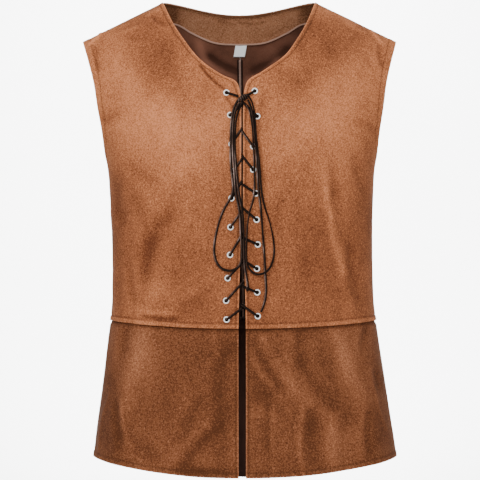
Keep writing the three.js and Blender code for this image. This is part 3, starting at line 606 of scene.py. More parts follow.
class Shell:
    """A wall of cloth on a grid of points, with what its edges need."""

    def __init__(self, surface, shares, rows):
        self.share, self.row = np.meshgrid(shares, rows)
        self.base = surface(self.share, self.row)
        self.normal = grid_normals(self.base)
        across, along = arc_lengths(self.base, 1), arc_lengths(self.base, 0)
        self.left, self.right = across, across[:, -1:] - across
        self.bottom, self.top = along, along[-1:, :] - along
        self.outer, self.nap = self.base, np.zeros(self.share.shape)
        self.inner_shading = np.zeros(self.share.shape)

    def raise_by(self, relief, inner_depth):
        """Moves the outer face out by the relief, and the inner one in by its depth."""
        self.outer = self.base + self.normal * relief[..., None]
        self.inner = self.base - self.normal * inner_depth[..., None]
        for face in (self.outer, self.inner):
            stay_on_side(face, np.sign(self.base[..., 1]))

    def line(self, distance, edge, span=slice(None)):
        """Points and normals on the outer face at a distance from an edge."""
        ruler = getattr(self, edge)
        points, normals = self.outer, self.normal
        if edge in ("bottom", "top"):
            ruler, points, normals = ruler.T, points.swapaxes(0, 1), normals.swapaxes(0, 1)
        if edge in ("right", "top"):
            ruler, points, normals = ruler[:, ::-1], points[:, ::-1], normals[:, ::-1]
        rows = range(ruler.shape[0])[span]
        distance = np.broadcast_to(distance, ruler.shape[0])
        sample = lambda field: np.array(
            [[np.interp(distance[i], ruler[i], field[i, :, k]) for k in range(3)] for i in rows]
        )
        return sample(points), sample(normals)

    def rim_points(self, outside, inside):
        """Points that round out the cut edge, halfway between the edges of the two faces."""
        middle = (outside + inside) / 2
        ahead = np.roll(middle, -1, 0) - np.roll(middle, 1, 0)
        away = unit(np.cross(ahead, outside - inside))
        rows, columns = self.share.shape
        if np.sum(away * (outside - self.base[rows // 2, columns // 2])) < 0:
            away = -away
        points = middle + away * RIM_BULGE
        stay_on_side(points, np.sign(middle[:, 1]))
        return points

    def build(self, name, outer_material, inner_material):
        """Makes the piece: both faces, and a rounded rim that joins them all round."""
        rows, columns = self.share.shape
        count = rows * columns
        grid = np.arange(count).reshape(rows, columns)
        outer = np.stack([grid[:-1, :-1], grid[:-1, 1:], grid[1:, 1:], grid[1:, :-1]], -1).reshape(-1, 4)
        inner = count + outer[:, [0, 3, 2, 1]]
        loop = np.concatenate([grid[0], grid[1:, -1], grid[-1, -2::-1], grid[-2:0:-1, 0]])
        rim = 2 * count + np.arange(len(loop))
        next_loop, next_rim = np.roll(loop, -1), np.roll(rim, -1)
        outer_rim = np.stack([next_loop, loop, rim, next_rim], 1)
        inner_rim = np.stack([next_rim, rim, count + loop, count + next_loop], 1)
        faces = np.concatenate([outer, inner, outer_rim, inner_rim])
        outer_points, inner_points = self.outer.reshape(-1, 3), self.inner.reshape(-1, 3)
        rim_points = self.rim_points(outer_points[loop], inner_points[loop])
        vertices = np.concatenate([outer_points, inner_points, rim_points])
        if signed_volume(vertices, faces) < 0:
            faces = faces[:, ::-1]
        index = np.repeat([0, 1, 0, 1], [len(outer), len(inner), len(loop), len(loop)])
        piece = add_mesh(name, vertices, faces.tolist(), [outer_material, inner_material], index)
        nap = self.nap.ravel()
        outer_tone, rim_tone = nap + brushed_and_painted_tone(outer_points), nap[loop] + brushed_and_painted_tone(rim_points)
        set_attribute(piece, "nap", np.concatenate([outer_tone, self.inner_shading.ravel(), rim_tone]))
        return piece


def tube_faces(count, sides, closed):
    """Faces between count rings of so many sides."""
    index = lambda i, j: (i % count) * sides + j % sides
    return [
        [index(i, j), index(i, j + 1), index(i + 1, j + 1), index(i + 1, j)]
        for i in range(count if closed else count - 1)
        for j in range(sides)
    ]


RIBBON_ROUND = dict(flat=0.75, tall=0.6)  # powers that square a ribbon's round section


def ribbon(name, points, width_axis, width, thickness, material, sides=10, ends=1.0, closed=False):
    """A flat strip with rounded edges along points. width_axis gives its width direction."""
    points = np.asarray(points, float)
    if closed:
        tangent = np.roll(points, -1, 0) - np.roll(points, 1, 0)
    else:
        tangent = np.gradient(points, axis=0)
    tangent = unit(tangent)
    across = unit(width_axis - tangent * np.sum(width_axis * tangent, axis=1, keepdims=True))
    up = np.cross(tangent, across)
    angle = np.arange(sides) / sides * 2 * math.pi
    flat = np.sign(np.cos(angle)) * np.abs(np.cos(angle)) ** RIBBON_ROUND["flat"] * width / 2
    tall = np.sign(np.sin(angle)) * np.abs(np.sin(angle)) ** RIBBON_ROUND["tall"] * thickness / 2
    scale = np.ones(len(points))
    if not closed:
        scale[0] = scale[-1] = ends
    ring = points[:, None] + scale[:, None, None] * (
        across[:, None] * flat[None, :, None] + up[:, None] * tall[None, :, None]
    )
    faces = tube_faces(len(points), sides, closed)
    if not closed:
        faces.append(list(reversed(range(sides))))
        faces.append([(len(points) - 1) * sides + j for j in range(sides)])
    return add_mesh(name, ring.reshape(-1, 3), faces, [material])


def resampled(points, step, *others):
    """Points at even steps along a line, with other rows carried along."""
    ruler = lengths_along(points)
    count = max(2, int(round(ruler[-1] / step)) + 1)
    at = np.linspace(0, ruler[-1], count)
    along = lambda field: np.stack([np.interp(at, ruler, field[:, k]) for k in range(3)], 1)
    return [along(points)] + [along(other) for other in others]


STITCH = dict(pitch=3.5, length=2.5, radius=0.33, sunk=0.05, bow=0.1, dive=0.25, sides=5)
STITCH_RINGS = [(-0.36, 0.8), (0.0, 1.0), (0.36, 0.8)]  # share of the length, share of the radius
STITCH_ENDS = (-0.5, 0.5)  # shares of the length where its ends dive into the cloth


def stitch_points(middle, ahead, up, side):
    """The rings of one stitch, and its two ends sunk in the cloth."""
    angle = np.arange(STITCH["sides"]) / STITCH["sides"] * 2 * math.pi
    points = []
    for along, wide in STITCH_RINGS:
        radius = wide * STITCH["radius"]
        bowed = STITCH["bow"] * (1 - 4 * along * along) - STITCH["sunk"]
        centre = middle + ahead * along * STITCH["length"] + up * bowed
        points += [centre + radius * (up * math.cos(a) + side * math.sin(a)) for a in angle]
    sunk = STITCH["sunk"] + STITCH["dive"]
    return points + [middle + ahead * along * STITCH["length"] - up * sunk for along in STITCH_ENDS]


def stitch_faces(start):
    """The faces of a stitch whose points are numbered from start."""
    sides = STITCH["sides"]
    first, last = start + 3 * sides, start + 3 * sides + 1
    faces = []
    for here in range(sides):
        after = (here + 1) % sides
        faces.append([first, start + after, start + here])
        faces.append([last, start + 2 * sides + here, start + 2 * sides + after])
        for ring in (start, start + sides):
            faces.append([ring + here, ring + after, ring + sides + after, ring + sides + here])
    return faces


def stitches(name, lines, material):
    """Topstitching: one short plump thread for each stitch along every line."""
    vertices, faces = [], []
    for points, normals in lines:
        points, normals = resampled(points, STITCH["pitch"], normals)
        middle = (points[1:] + points[:-1]) / 2
        ahead = unit(points[1:] - points[:-1])
        up = (normals[1:] + normals[:-1]) / 2
        up = unit(up - ahead * np.sum(up * ahead, axis=1, keepdims=True))
        side = np.cross(ahead, up)
        for directions in zip(middle, ahead, up, side):
            faces += stitch_faces(len(vertices))
            vertices += stitch_points(*directions)
    return add_mesh(name, np.array(vertices), faces, [material])


# ---------------------------------------------------------------- materials

# Larger patches of lighter (above zero) or darker tone, partly brushed nap and partly painted light and
# shade: each has its place, its reach across and upright, and its tone.
NAP_AND_SHADE = [  # x, z, wide, tall, tone
    # chest and shoulders; the darker patches round the neck and shoulders are painted shade
    (-134, -172, 40, 42, 0.13),
    (-88, -206, 44, 44, 0.11),
    (-60, -170, 30, 40, 0.05),
    (-158, -106, 18, 32, 0.10),
    (90, -186, 42, 36, 0.08),
    (140, -156, 34, 46, 0.08),
    (52, -246, 30, 46, 0.06),
    (-120, -92, 32, 34, -0.20),
    (-140, -36, 44, 18, -0.14),
    (110, -60, 40, 34, -0.20),
    (106, -34, 32, 24, -0.12),
    (66, -120, 30, 26, -0.10),
    (166, -44, 44, 22, -0.09),
    (-100, -62, 70, 44, -0.11),
    (96, -64, 70, 50, -0.06),
    (-44, -136, 36, 26, -0.08),
    (54, -158, 22, 44, -0.08),
    (32, -170, 10, 40, -0.08),
    (91, -238, 16, 30, -0.05),
    # down to the waist; the darker patches at the sides are painted shade where the body turns away
    (-190, -180, 14, 34, -0.08),
    (-176, -290, 16, 60, -0.12),
    (176, -300, 18, 90, -0.12),
    (-60, -345, 34, 60, 0.04),
    (86, -372, 34, 50, -0.03),
    (142, -330, 14, 70, 0.05),
    (-122, -414, 22, 20, 0.09),
    (-62, -432, 30, 16, -0.10),
    # skirt, right side
    (-138, -500, 24, 44, 0.17),
    (-24, -520, 14, 40, -0.12),
    (-30, -580, 16, 34, -0.10),
    (-62, -661, 28, 7, -0.30),
    (-127, -636, 14, 9, -0.08),
    (-184, -600, 16, 44, -0.13),
    (-187, -540, 8, 11, -0.10),
    (-47, -648, 12, 9, 0.08),
    (-11, -636, 8, 28, 0.06),
    # skirt, left side
    (26, -556, 15, 16, -0.22),
    (26, -620, 22, 36, -0.04),
    (97, -598, 14, 20, -0.13),
    (148, -504, 20, 46, 0.23),
    (144, -592, 13, 15, -0.16),
    (127, -618, 11, 28, 0.10),
    (190, -610, 14, 34, -0.13),
    (191, -540, 8, 12, -0.10),
]
CHEST_TONE_AND_LIGHT, SKIRT_TONE_AND_SHADE = 0.12, -0.14  # the chest lighter and the skirt darker: partly their own tone, partly painted light from above
TONE_TURNS_FROM, TONE_TURNS_OVER = -380, 220  # height where this starts to change, and over how much


def brushed_and_painted_tone(points):
    """How light the suede is at some points, without creases and edges: brushed patches, and painted light
    and shade.
    """
    across, height = points[:, 0], points[:, 2]
    tone = mix(SKIRT_TONE_AND_SHADE, CHEST_TONE_AND_LIGHT, smoothstep((height - TONE_TURNS_FROM) / TONE_TURNS_OVER))
    for x, z, wide, tall, patch_tone in NAP_AND_SHADE:
        tone = tone + patch_tone * hump(across - x, wide) * hump(height - z, tall)
    return tone


class Paint:
    """A material, with helpers that add its nodes."""

    def __init__(self, name, **settings):
        self.material = bpy.data.materials.new(name)
        self.material.use_nodes = True
        self.tree = self.material.node_tree
        self.shader = self.tree.nodes["Principled BSDF"]
        for key, value in settings.items():
            self.shader.inputs[key.replace("_", " ")].default_value = value
        self.where = self.add("ShaderNodeTexCoord").outputs["Object"]

    def feed(self, socket, value):
        """Gives a socket another node's output or a fixed value."""
        if isinstance(value, bpy.types.NodeSocket):
            self.tree.links.new(value, socket)
        else:
            socket.default_value = value

    def add(self, kind, **inputs):
        node = self.tree.nodes.new(kind)
        for key, value in inputs.items():
            self.feed(node.inputs[key], value)
        return node

    def attribute(self, name):
        node = self.add("ShaderNodeAttribute")
        node.attribute_name = name
        return node.outputs["Fac"]

    def noise(self, scale, detail, upright=1.0):
        place = self.add("ShaderNodeMapping", Vector=self.where, Scale=(1, 1, upright)).outputs["Vector"]
        return self.add("ShaderNodeTexNoise", Vector=place, Scale=scale, Detail=detail).outputs["Fac"]

    def math(self, operation, a, b):
        node = self.add("ShaderNodeMath")
        node.operation = operation
        self.feed(node.inputs[0], a)
        self.feed(node.inputs[1], b)
        return node.outputs["Value"]

    def plus(self, a, b):
        return self.math("ADD", a, b)

    def times(self, a, b):
        return self.math("MULTIPLY", a, b)

    def color(self, tone, *stops):
        ramp = self.add("ShaderNodeValToRGB", Fac=tone)
        elements = ramp.color_ramp.elements
        while len(elements) < len(stops):
            elements.new(0.5)
        for element, (place, color) in zip(elements, stops):
            element.position, element.color = place, (*color, 1.0)
        self.feed(self.shader.inputs["Base Color"], ramp.outputs["Color"])

    def bump(self, height, strength, distance):
        bump = self.add("ShaderNodeBump", Height=height, Strength=strength, Distance=distance)
        self.feed(self.shader.inputs["Normal"], bump.outputs["Normal"])


SUEDE_NOISE = [  # from broad patches to single fibres; weight is its share in the tone
    dict(scale=11, detail=5, upright=0.7, weight=0.42),
    dict(scale=42, detail=4, upright=0.6, weight=0.28),
    dict(scale=480, detail=3, upright=1, weight=1.15),
    dict(scale=900, detail=2, upright=1, weight=1.1),
    dict(scale=1700, detail=2, upright=1, weight=0.3),
]
GRAIN_IN_PILE = 0.6  # how much the coarser grain lifts the pile, beside the fibres


def suede_material(name, dark, middle, light):
    """Suede: brushed patches, streaks and fine fibres over a short pile, with the tone and painted light and
    shade of its vertex attribute.
    """
    paint = Paint(name, Roughness=0.95, Specular_IOR_Level=0.08, Sheen_Weight=0.04, Sheen_Roughness=0.5,
                  Sheen_Tint=(1.0, 0.6, 0.4, 1.0))
    sources = [paint.noise(row["scale"], row["detail"], row["upright"]) for row in SUEDE_NOISE]
    tone = paint.plus(paint.attribute("nap"), 0.5)
    for source, row in zip(sources, SUEDE_NOISE):
        centred = paint.math("SUBTRACT", source, 0.5)
        tone = paint.plus(tone, paint.times(centred, row["weight"]))
    paint.color(tone, (0.1, dark), (0.5, middle), (0.9, light))
    grain, fibre = sources[-2:]
    paint.bump(paint.plus(paint.times(grain, GRAIN_IN_PILE), fibre), strength=0.22, distance=0.0006)
    return paint.material


def knit_material(name, dark, light):
    """The wrong side: a flat, close knit with faint cross ribs, and the painted light and shade of its
    vertex attribute.
    """
    paint = Paint(name, Roughness=0.85, Specular_IOR_Level=0.15)
    broad = paint.noise(scale=14, detail=4)
    thread = paint.noise(scale=900, detail=2, upright=2.4)
    tone = paint.plus(paint.times(broad, 0.7), paint.times(thread, 0.3))
    paint.color(paint.plus(tone, paint.attribute("nap")), (0.3, dark), (0.7, light))
    paint.bump(thread, strength=0.25, distance=0.0005)
    return paint.material


def thread_material(name, color):
    """Twisted sewing thread."""
    paint = Paint(name, Roughness=0.8, Specular_IOR_Level=0.1)
    twist = paint.noise(scale=2500, detail=1)
    paint.color(twist, (0.35, tuple(0.65 * c for c in color)), (0.65, color))
    paint.bump(twist, strength=0.3, distance=0.0003)
    return paint.material


def lace_material():
    """Near-black suede lace, with a painted highlight along the side that faces the key light."""
    paint = Paint("lace_suede", Roughness=0.7, Specular_IOR_Level=0.06)
    # worn is patchy noise that breaks up the painted highlight; the palest colour stop is that highlight
    worn = paint.noise(scale=110, detail=4, upright=0.5)
    grain = paint.noise(scale=1300, detail=3)
    rubbed = paint.times(paint.times(worn, 1.1), paint.attribute("rubbed"))
    paint.color(
        paint.plus(paint.times(grain, 0.5), rubbed),
        (0.15, (0.002, 0.0012, 0.001)), (0.5, (0.017, 0.009, 0.006)),
        (0.72, (0.075, 0.044, 0.033)), (0.98, (0.3, 0.21, 0.18)),
    )
    paint.bump(grain, strength=0.35, distance=0.0005)
    return paint.material


def nickel_material():
    """Bright nickel with fine scuffs."""
    paint = Paint("nickel", Metallic=0.2)
    scuff = paint.noise(scale=700, detail=5)
    paint.color(scuff, (0.3, (0.86, 0.84, 0.8)), (0.7, (0.98, 0.97, 0.94)))
    paint.feed(paint.shader.inputs["Roughness"], paint.plus(paint.times(scuff, 0.3), 0.25))
    return paint.material


SUEDE = suede_material(
    "suede", dark=(0.102, 0.030, 0.012), middle=(0.288, 0.097, 0.039), light=(0.595, 0.216, 0.090)
)
# The skirt's suede is darker than the bodice's: partly its own tone, partly painted shade.
SKIRT_SUEDE = suede_material(
    "skirt_suede", dark=(0.067, 0.0215, 0.0085), middle=(0.183, 0.062, 0.0255), light=(0.38, 0.150, 0.072)
)
FACING_SUEDE = suede_material(
    "facing_suede", dark=(0.10, 0.038, 0.016), middle=(0.27, 0.115, 0.055), light=(0.42, 0.2, 0.11)
)
WRONG_SIDE = knit_material("wrong_side", (0.055, 0.02, 0.011), (0.24, 0.098, 0.06))
# A darker copy of the wrong side for inside the skirt: painted shade, as that inside lies in deep shadow.
SHADED_WRONG_SIDE = knit_material("wrong_side_hem", (0.014, 0.005, 0.003), (0.04, 0.016, 0.01))
BINDING = knit_material("binding", (0.36, 0.2, 0.14), (0.56, 0.35, 0.27))
# The allowance's knit is painted far darker than the wrong side: painted shade beside the seam.
ALLOWANCE_IN_SHADE = knit_material("seam_allowance", (0.012, 0.005, 0.003), (0.035, 0.016, 0.011))
OVERLOCK = knit_material("overlock_thread", (0.2, 0.12, 0.09), (0.4, 0.28, 0.23))
LABEL_CLOTH = knit_material("label_cloth", (0.9, 0.93, 0.92), (0.98, 0.99, 0.98))
THREAD = thread_material("topstitch_thread", (0.17, 0.06, 0.024))
LACE = lace_material()
NICKEL = nickel_material()

# ---------------------------------------------------------------- cloth panels

NECK_TURN = 5.6  # distance of the topstitching from the neckline
NECK_TURN_FROM, NECK_TURN_OVER = -150, 30  # height where it changes to the front's, over how much
FRONT_TURN = 3.6  # from the front edges
ARM_TURN = 11.0
HEM_TURN = 7.0
TURN_HEIGHT = 0.5
ARM_TURN_HEIGHT = 0.35
TURNED_IN = 0.5  # what a turning adds to the thickness inside
TURNED_IN_OVER = 2
UNDERARM_BLEND = 0.04  # rows over which the side seam becomes the armhole's edge
NECK_BLEND = 6  # distance over which the shoulder seam becomes the neckline
LOOSE_OVER = 8  # distance over which the skirt comes loose from the lap
LAP_SHADE = dict(tone=0.3, width=4)  # the nap in the shade of the lap

# Rough lengths along the panels, which set how many steps their grids have.
HALF_GIRTH = 270.0
LOWER_HEIGHT = UNDERARM_Z - WAIST_Z
UPPER_HEIGHT = 190.0
HEM_SPARE = 20  # what the dip of the hem adds
SKIRT_HEIGHT = WAIST_Z + WAIST_LAP - HEM_Z + HEM_SPARE
# The steps: fine within reach of the low and the high end, coarse between.
BODICE_ACROSS = dict(fine=1.4, reach_low=32, reach_high=16, coarse=3.8)
BODICE_BELOW = dict(fine=1.4, reach_low=10, reach_high=0, coarse=4.2)
BODICE_ABOVE = dict(fine=2.0, reach_low=12, reach_high=17, coarse=3.4)
SKIRT_ACROSS = dict(fine=1.4, reach_low=14, reach_high=10, coarse=3.8)
BACK_SKIRT_ACROSS = dict(SKIRT_ACROSS, reach_low=0)
SKIRT_DOWN = dict(fine=1.4, reach_low=14, reach_high=24, coarse=3.8)

RIPPLES = [  # the soft unevenness of every panel
    dict(size=62, upright=0.6, height=1.0),
    dict(size=26, upright=1.0, height=0.55),
]
RIPPLE_SEEDS = dict(front_bodice=11, back_bodice=31, front_skirt=51, back_skirt=71)
CALM = dict(sides=25, top=20, bottom=12, creases=6)  # distance from the edges where it fades out


def cloth_form(panel, shell):
    """What every panel has: creases, soft ripples, and the painted light and shade that go with the creases.
    """
    x, z = shell.base[..., 0], shell.base[..., 2]
    creases, shade = crease_relief(panel.split("_")[0], x, z) * smoothstep(shell.right / CALM["creases"])
    ripple = 0
    for seed, wave in enumerate(RIPPLES, RIPPLE_SEEDS[panel]):
        ripple = ripple + wave["height"] * soft_noise(x, z * wave["upright"], wave["size"], seed)
    calm = smoothstep(np.minimum(shell.left, shell.right) / CALM["sides"])
    calm = calm * smoothstep(shell.top / CALM["top"]) * smoothstep(shell.bottom / CALM["bottom"])
    shell.nap = CREASE_SHADE_PER_MM * creases - shade
    shell.inner_shading = -INNER_CREASE_SHADE_PER_MM * creases
    return creases + ripple * calm


def finish_shell(shell, form, edges, inner_depth):
    """Outer face with its creases and edges; inner face that follows the creases only."""
    relief, nap = edges
    shell.nap = shell.nap + nap
    shell.raise_by(form + relief, inner_depth - form)


def folded_in(distance, width):
    """The thickness that a turning adds inside."""
    return TURNED_IN * smoothstep((width - distance) / TURNED_IN_OVER)


def front_turn(z):
    """The turning's width on the front edge widens into the neckline's."""
    return mix(FRONT_TURN, NECK_TURN, smoothstep((z - NECK_TURN_FROM) / NECK_TURN_OVER))


def bodice_panel(face, side_name, side):
    shares = share_across(marks(HALF_GIRTH, **BODICE_ACROSS))
    upper = marks(UPPER_HEIGHT, **BODICE_ABOVE)
    rows = np.concatenate([marks(LOWER_HEIGHT, **BODICE_BELOW), 1 + upper[1:]])
    shell = Shell(bodice_surface(face, side), shares, rows)
    form = cloth_form(f"{face}_bodice", shell)
    edges = mix(seam_valley(shell.right), turned_edge(shell.right, ARM_TURN, ARM_TURN_HEIGHT),
                smoothstep((shell.row - 1) / UNDERARM_BLEND))
    if face == "front":
        turn = front_turn(shell.base[:, :1, 2])
        edges += turned_edge(shell.left, turn, TURN_HEIGHT) + seam_valley(shell.top)
        extra = folded_in(shell.left, turn)
    else:
        over_neck = smoothstep((NECK_HALF - np.abs(shell.base[..., 0] - LEAN_TOP)) / NECK_BLEND)
        edges += seam_valley(shell.left)
        edges += mix(seam_valley(shell.top), turned_edge(shell.top, NECK_TURN, TURN_HEIGHT), over_neck)
        extra = 0.0
    edges += waist_welt(shell.bottom, shell.left)
    finish_shell(shell, form, edges, CLOTH + extra)
    node = f"{face}_bodice_{side_name}"
    piece = shell.build(f"{node}_cloth", SUEDE, WRONG_SIDE)
    return shell, piece, node


def skirt_panel(face, side_name, side):
    half = share_across(marks(HALF_GIRTH, **(SKIRT_ACROSS if side else BACK_SKIRT_ACROSS)))
    shares = half if side else np.concatenate([-half[:0:-1], half])
    shell = Shell(skirt_surface(face, side), shares, marks(SKIRT_HEIGHT, **SKIRT_DOWN))
    form = cloth_form(f"{face}_skirt", shell)
    edges = turned_edge(shell.bottom, HEM_TURN, TURN_HEIGHT) + seam_valley(shell.right)
    edges += turned_edge(shell.left, FRONT_TURN, TURN_HEIGHT) if side else seam_valley(shell.left)
    below = (1 - shell.row) * (WAIST_Z + WAIST_LAP - HEM_Z) - WAIST_LAP
    tucked = (CLOTH + 2 * SEAM_GAP) * (1 - smoothstep(below / TUCK_REACH))
    loose = smoothstep((below - 1) / LOOSE_OVER)
    shell.nap -= LAP_SHADE["tone"] * hump(below, LAP_SHADE["width"])
    extra = folded_in(shell.bottom, HEM_TURN)
    finish_shell(shell, form * loose - tucked, edges * loose, CLOTH + extra)
    node = f"{face}_skirt_{side_name}" if side else "back_skirt"
    piece = shell.build(f"{node}_cloth", SKIRT_SUEDE, SHADED_WRONG_SIDE)
    return shell, piece, node


def stand_for(piece, slot, *nodes):
    """Gives a piece the root body and hides the nodes of the frame that it replaces; slot is not used."""
    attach(piece, "root")
    if nodes:
        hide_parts(*nodes)
    return piece


panels = {}
for side_name, side in (("right", -1), ("left", 1)):
    for face in ("front", "back"):
        panels[f"{face}_bodice_{side_name}"] = bodice_panel(face, side_name, side)
    panels[f"front_skirt_{side_name}"] = skirt_panel("front", side_name, side)
panels["back_skirt"] = skirt_panel("back", "", 0)

# ---------------------------------------------------------------- eyelets and their holes

EYELET = dict(hole=2.7, barrel=3.2, flange=4.4, rise=0.8, tail=0.5, tuck=0.15, inset=0.05, bevel=0.2,
              segments=28)
EYELET_CURL = [(0.0, 0.0), (0.9, 0.15), (0.8, 0.4), (0.0, 0.5)]  # out from the barrel, up from its end
ROLL = dict(start=0.05, end=math.pi - 0.3, steps=9, power=0.7)  # the flange's arc, from its outer edge
PUNCH = dict(clear=0.25, half=8.0, core=0.02, segments=20)


def eyelet_frame(x, z):
    """An eyelet's place on its panel, with the directions right, up and out."""
    at = lambda px, pz: on_form("front", np.array(px - lean_at(pz)), np.array(float(pz)))
    point = at(x, z)
    right, up = at(x + 1, z) - point, at(x, z + 1) - point
    out, right = unit(np.cross(right, up)), unit(right)
    return point, right, np.cross(out, right), out


def lathe(name, outline, place, material, segments):
    """A piece turned round the out direction of a place, from radii and heights."""
    point, right, up, out = place
    angle = np.arange(segments) / segments * 2 * math.pi
    rings = [
        point + out * height + radius * (np.cos(angle)[:, None] * right + np.sin(angle)[:, None] * up)
        for radius, height in outline
    ]
    return add_mesh(name, np.concatenate(rings), tube_faces(len(rings), segments, True), [material])


def eyelet_outline():
    """Radius and height round the section: a flange rolled into the barrel, and a curl behind."""
    hole, barrel, flange = EYELET["hole"], EYELET["barrel"], EYELET["flange"]
    half = (flange - hole) / 2
    under = SEAM_GAP - EYELET["tuck"]
    base = -CLOTH - EYELET["tail"]
    roll = [
        (hole + half + half * math.cos(a), SEAM_GAP + EYELET["rise"] * math.sin(a) ** ROLL["power"])
        for a in np.linspace(ROLL["start"], ROLL["end"], ROLL["steps"])
    ]
    bore = [(hole, -SEAM_GAP), (hole, base + EYELET["bevel"])]
    curl = [(barrel + out, base + up) for out, up in EYELET_CURL]
    return [(flange - EYELET["inset"], under)] + roll + bore + curl + [(barrel, under)]


def punch_outline():
    radius, half, core = EYELET["barrel"] + PUNCH["clear"], PUNCH["half"], PUNCH["core"]
    return [(core, -half), (radius, -half), (radius, half), (core, half)]


punches = {"right": [], "left": []}
for number, pair in enumerate(EYELETS, 1):
    for side_name in ("right", "left"):
        place = eyelet_frame(*pair[side_name])
        node = f"eyelet_{side_name}_{number}"
        metal = lathe(f"{node}_metal", eyelet_outline(), place, NICKEL, EYELET["segments"])
        stand_for(metal, "eyelet", node)
        punches[side_name].append(lathe("punch", punch_outline(), place, SUEDE, PUNCH["segments"]))

for side_name in ("right", "left"):
    piece = panels[f"front_bodice_{side_name}"][1]
    cutters = punches[side_name]
    with bpy.context.temp_override(active_object=cutters[0], selected_editable_objects=cutters):
        bpy.ops.object.join()
    cut = piece.modifiers.new("eyelet_holes", "BOOLEAN")
    cut.operation, cut.solver, cut.object = "DIFFERENCE", "EXACT", cutters[0]
    with bpy.context.temp_override(object=piece, active_object=piece):
        bpy.ops.object.modifier_apply(modifier=cut.name)
    bpy.data.objects.remove(cutters[0])

for name, (shell, piece, node) in panels.items():
    stand_for(piece, "suede", node)

# ---------------------------------------------------------------- topstitching

ARM_ROW = 1.02  # the armhole's stitching starts just above the underarm
LAP_CLEAR = 1.1  # and the skirt's front edge ends its own just below the lap, in laps

for side_name in ("right", "left"):
    front = panels[f"front_bodice_{side_name}"][0]
    back = panels[f"back_bodice_{side_name}"][0]
    skirt = panels[f"front_skirt_{side_name}"][0]
    on_arm = slice(int(np.searchsorted(front.row[:, 0], ARM_ROW)), None)
    on_neck = slice(0, int(np.searchsorted(back.share[0], NECK_HALF / SHOULDER_HALF)))
    below_lap = slice(0, int(np.searchsorted(skirt.row[:, 0], 1 - LAP_CLEAR * WAIST_LAP / SKIRT_HEIGHT)))
    stitch_lines = {
        "front": [front.line(front_turn(front.base[:, 0, 2]), "left"),
                  front.line(ARM_TURN, "right", on_arm), front.line(WELT, "bottom")],
        "back": [back.line(NECK_TURN, "top", on_neck),
                 back.line(ARM_TURN, "right", on_arm), back.line(WELT, "bottom")],
        "skirt": [skirt.line(HEM_TURN, "bottom"), skirt.line(FRONT_TURN, "left", below_lap)],
    }
    for panel, lines in stitch_lines.items():
        stand_for(stitches(f"topstitch_{panel}_{side_name}", lines, THREAD), "suede")
back_hem = panels["back_skirt"][0].line(HEM_TURN, "bottom")
stand_for(stitches("topstitch_skirt_back", [back_hem], THREAD), "suede")

# ---------------------------------------------------------------- facing, binding and label


def whole_back(share, row):
    side = np.where(share < 0, -1.0, 1.0)
    return upper_back(side, np.abs(share), row)


FACING_GRID = dict(half=60, up=18, middle=0.0005)  # middle keeps its column off the two halves' seam
FACING_EASE = dict(height=0.25, size=30, seed=91)
FACING_WAVE = dict(height=0.5, x=30, z=-26, wide=26, tall=5)  # where its lower edge stands off
# The facing's tone: own is an overall lift of it; shoulder and rim are painted shadow where it turns under
# the shoulders and along its top edge.
FACING_TONE_AND_SHADOW = dict(own=0.09, shoulder=0.42, shoulder_from=80, shoulder_over=18, rim=0.6, rim_width=4.5)
BIND = dict(width=3.4, thickness=2.0, up=0.6, out=0.55, sides=12)


def facing_shell():
    """The facing lies inside the back's neck, eased a little, with small wrinkles."""
    half = np.linspace(0, 1, FACING_GRID["half"]) * FACING_REACH
    shares = np.concatenate([-half[:0:-1], half])
    shares[len(half) - 1] = FACING_GRID["middle"]
    shell = Shell(whole_back, shares, np.linspace(FACING_ROW, 1.0, FACING_GRID["up"]))
    x, z = shell.base[..., 0], shell.base[..., 2]
    ease = np.abs(FACING_EASE["height"] * soft_noise(x, z, FACING_EASE["size"], FACING_EASE["seed"]))
    wave = FACING_WAVE["height"] * hump(x - FACING_WAVE["x"], FACING_WAVE["wide"])
    wave = wave * hump(z - FACING_WAVE["z"], FACING_WAVE["tall"])
    wrinkle, wrinkle_shade = crease_relief("facing", x, z)
    # Painted shadow under the shoulders and along the top edge, and painted shade in the wrinkles.
    tone = FACING_TONE_AND_SHADOW
    shoulder_shadow = smoothstep((np.abs(x - LEAN_TOP) - tone["shoulder_from"]) / tone["shoulder_over"])
    rim_shadow = hump(shell.top, tone["rim_width"])
    shell.inner_shading = tone["own"] - tone["shoulder"] * shoulder_shadow - tone["rim"] * rim_shadow - wrinkle_shade
    outer = CLOTH + SEAM_GAP
    shell.raise_by(np.full(x.shape, -outer), outer + FACING + ease + wave + np.maximum(0, wrinkle))
    return shell


def facing_binding(shell):
    """A narrow bound strip along the facing's lower edge."""
    edge, normal = shell.inner[0] + np.array([0.0, 0.0, BIND["up"]]), shell.normal[0]
    across = np.cross(normal, np.gradient(edge, axis=0))
    return ribbon("facing_binding", edge + normal * BIND["out"], across,
                  BIND["width"], BIND["thickness"], BINDING, BIND["sides"])


facing = facing_shell()
facing_piece = facing.build("neck_facing_cloth", FACING_SUEDE, FACING_SUEDE)
stand_for(facing_piece, "facing", "neck_facing")
strip = stand_for(facing_binding(facing), "facing")

LABEL = dict(thickness=0.55, width=16.5, height=16.4, slant=3.2, middle=2.5, steps=14)
LABEL_BEHIND = CLOTH + 2.2 * SEAM_GAP  # depth of its face that lies against the back
LABEL_FOLD = dict(reach=2.2, over=1.2, height=0.175)  # its side edges are folded under
LABEL_CURL = 0.7  # how far its lower edge curls away


def label_surface(share, row):
    x = LABEL["middle"] + share * LABEL["width"] / 2 - (1 - row) * LABEL["slant"]
    z = FACING_EDGE[0]["z"] - SEAM_GAP - (1 - row) * LABEL["height"]
    return on_form("back", x, z)


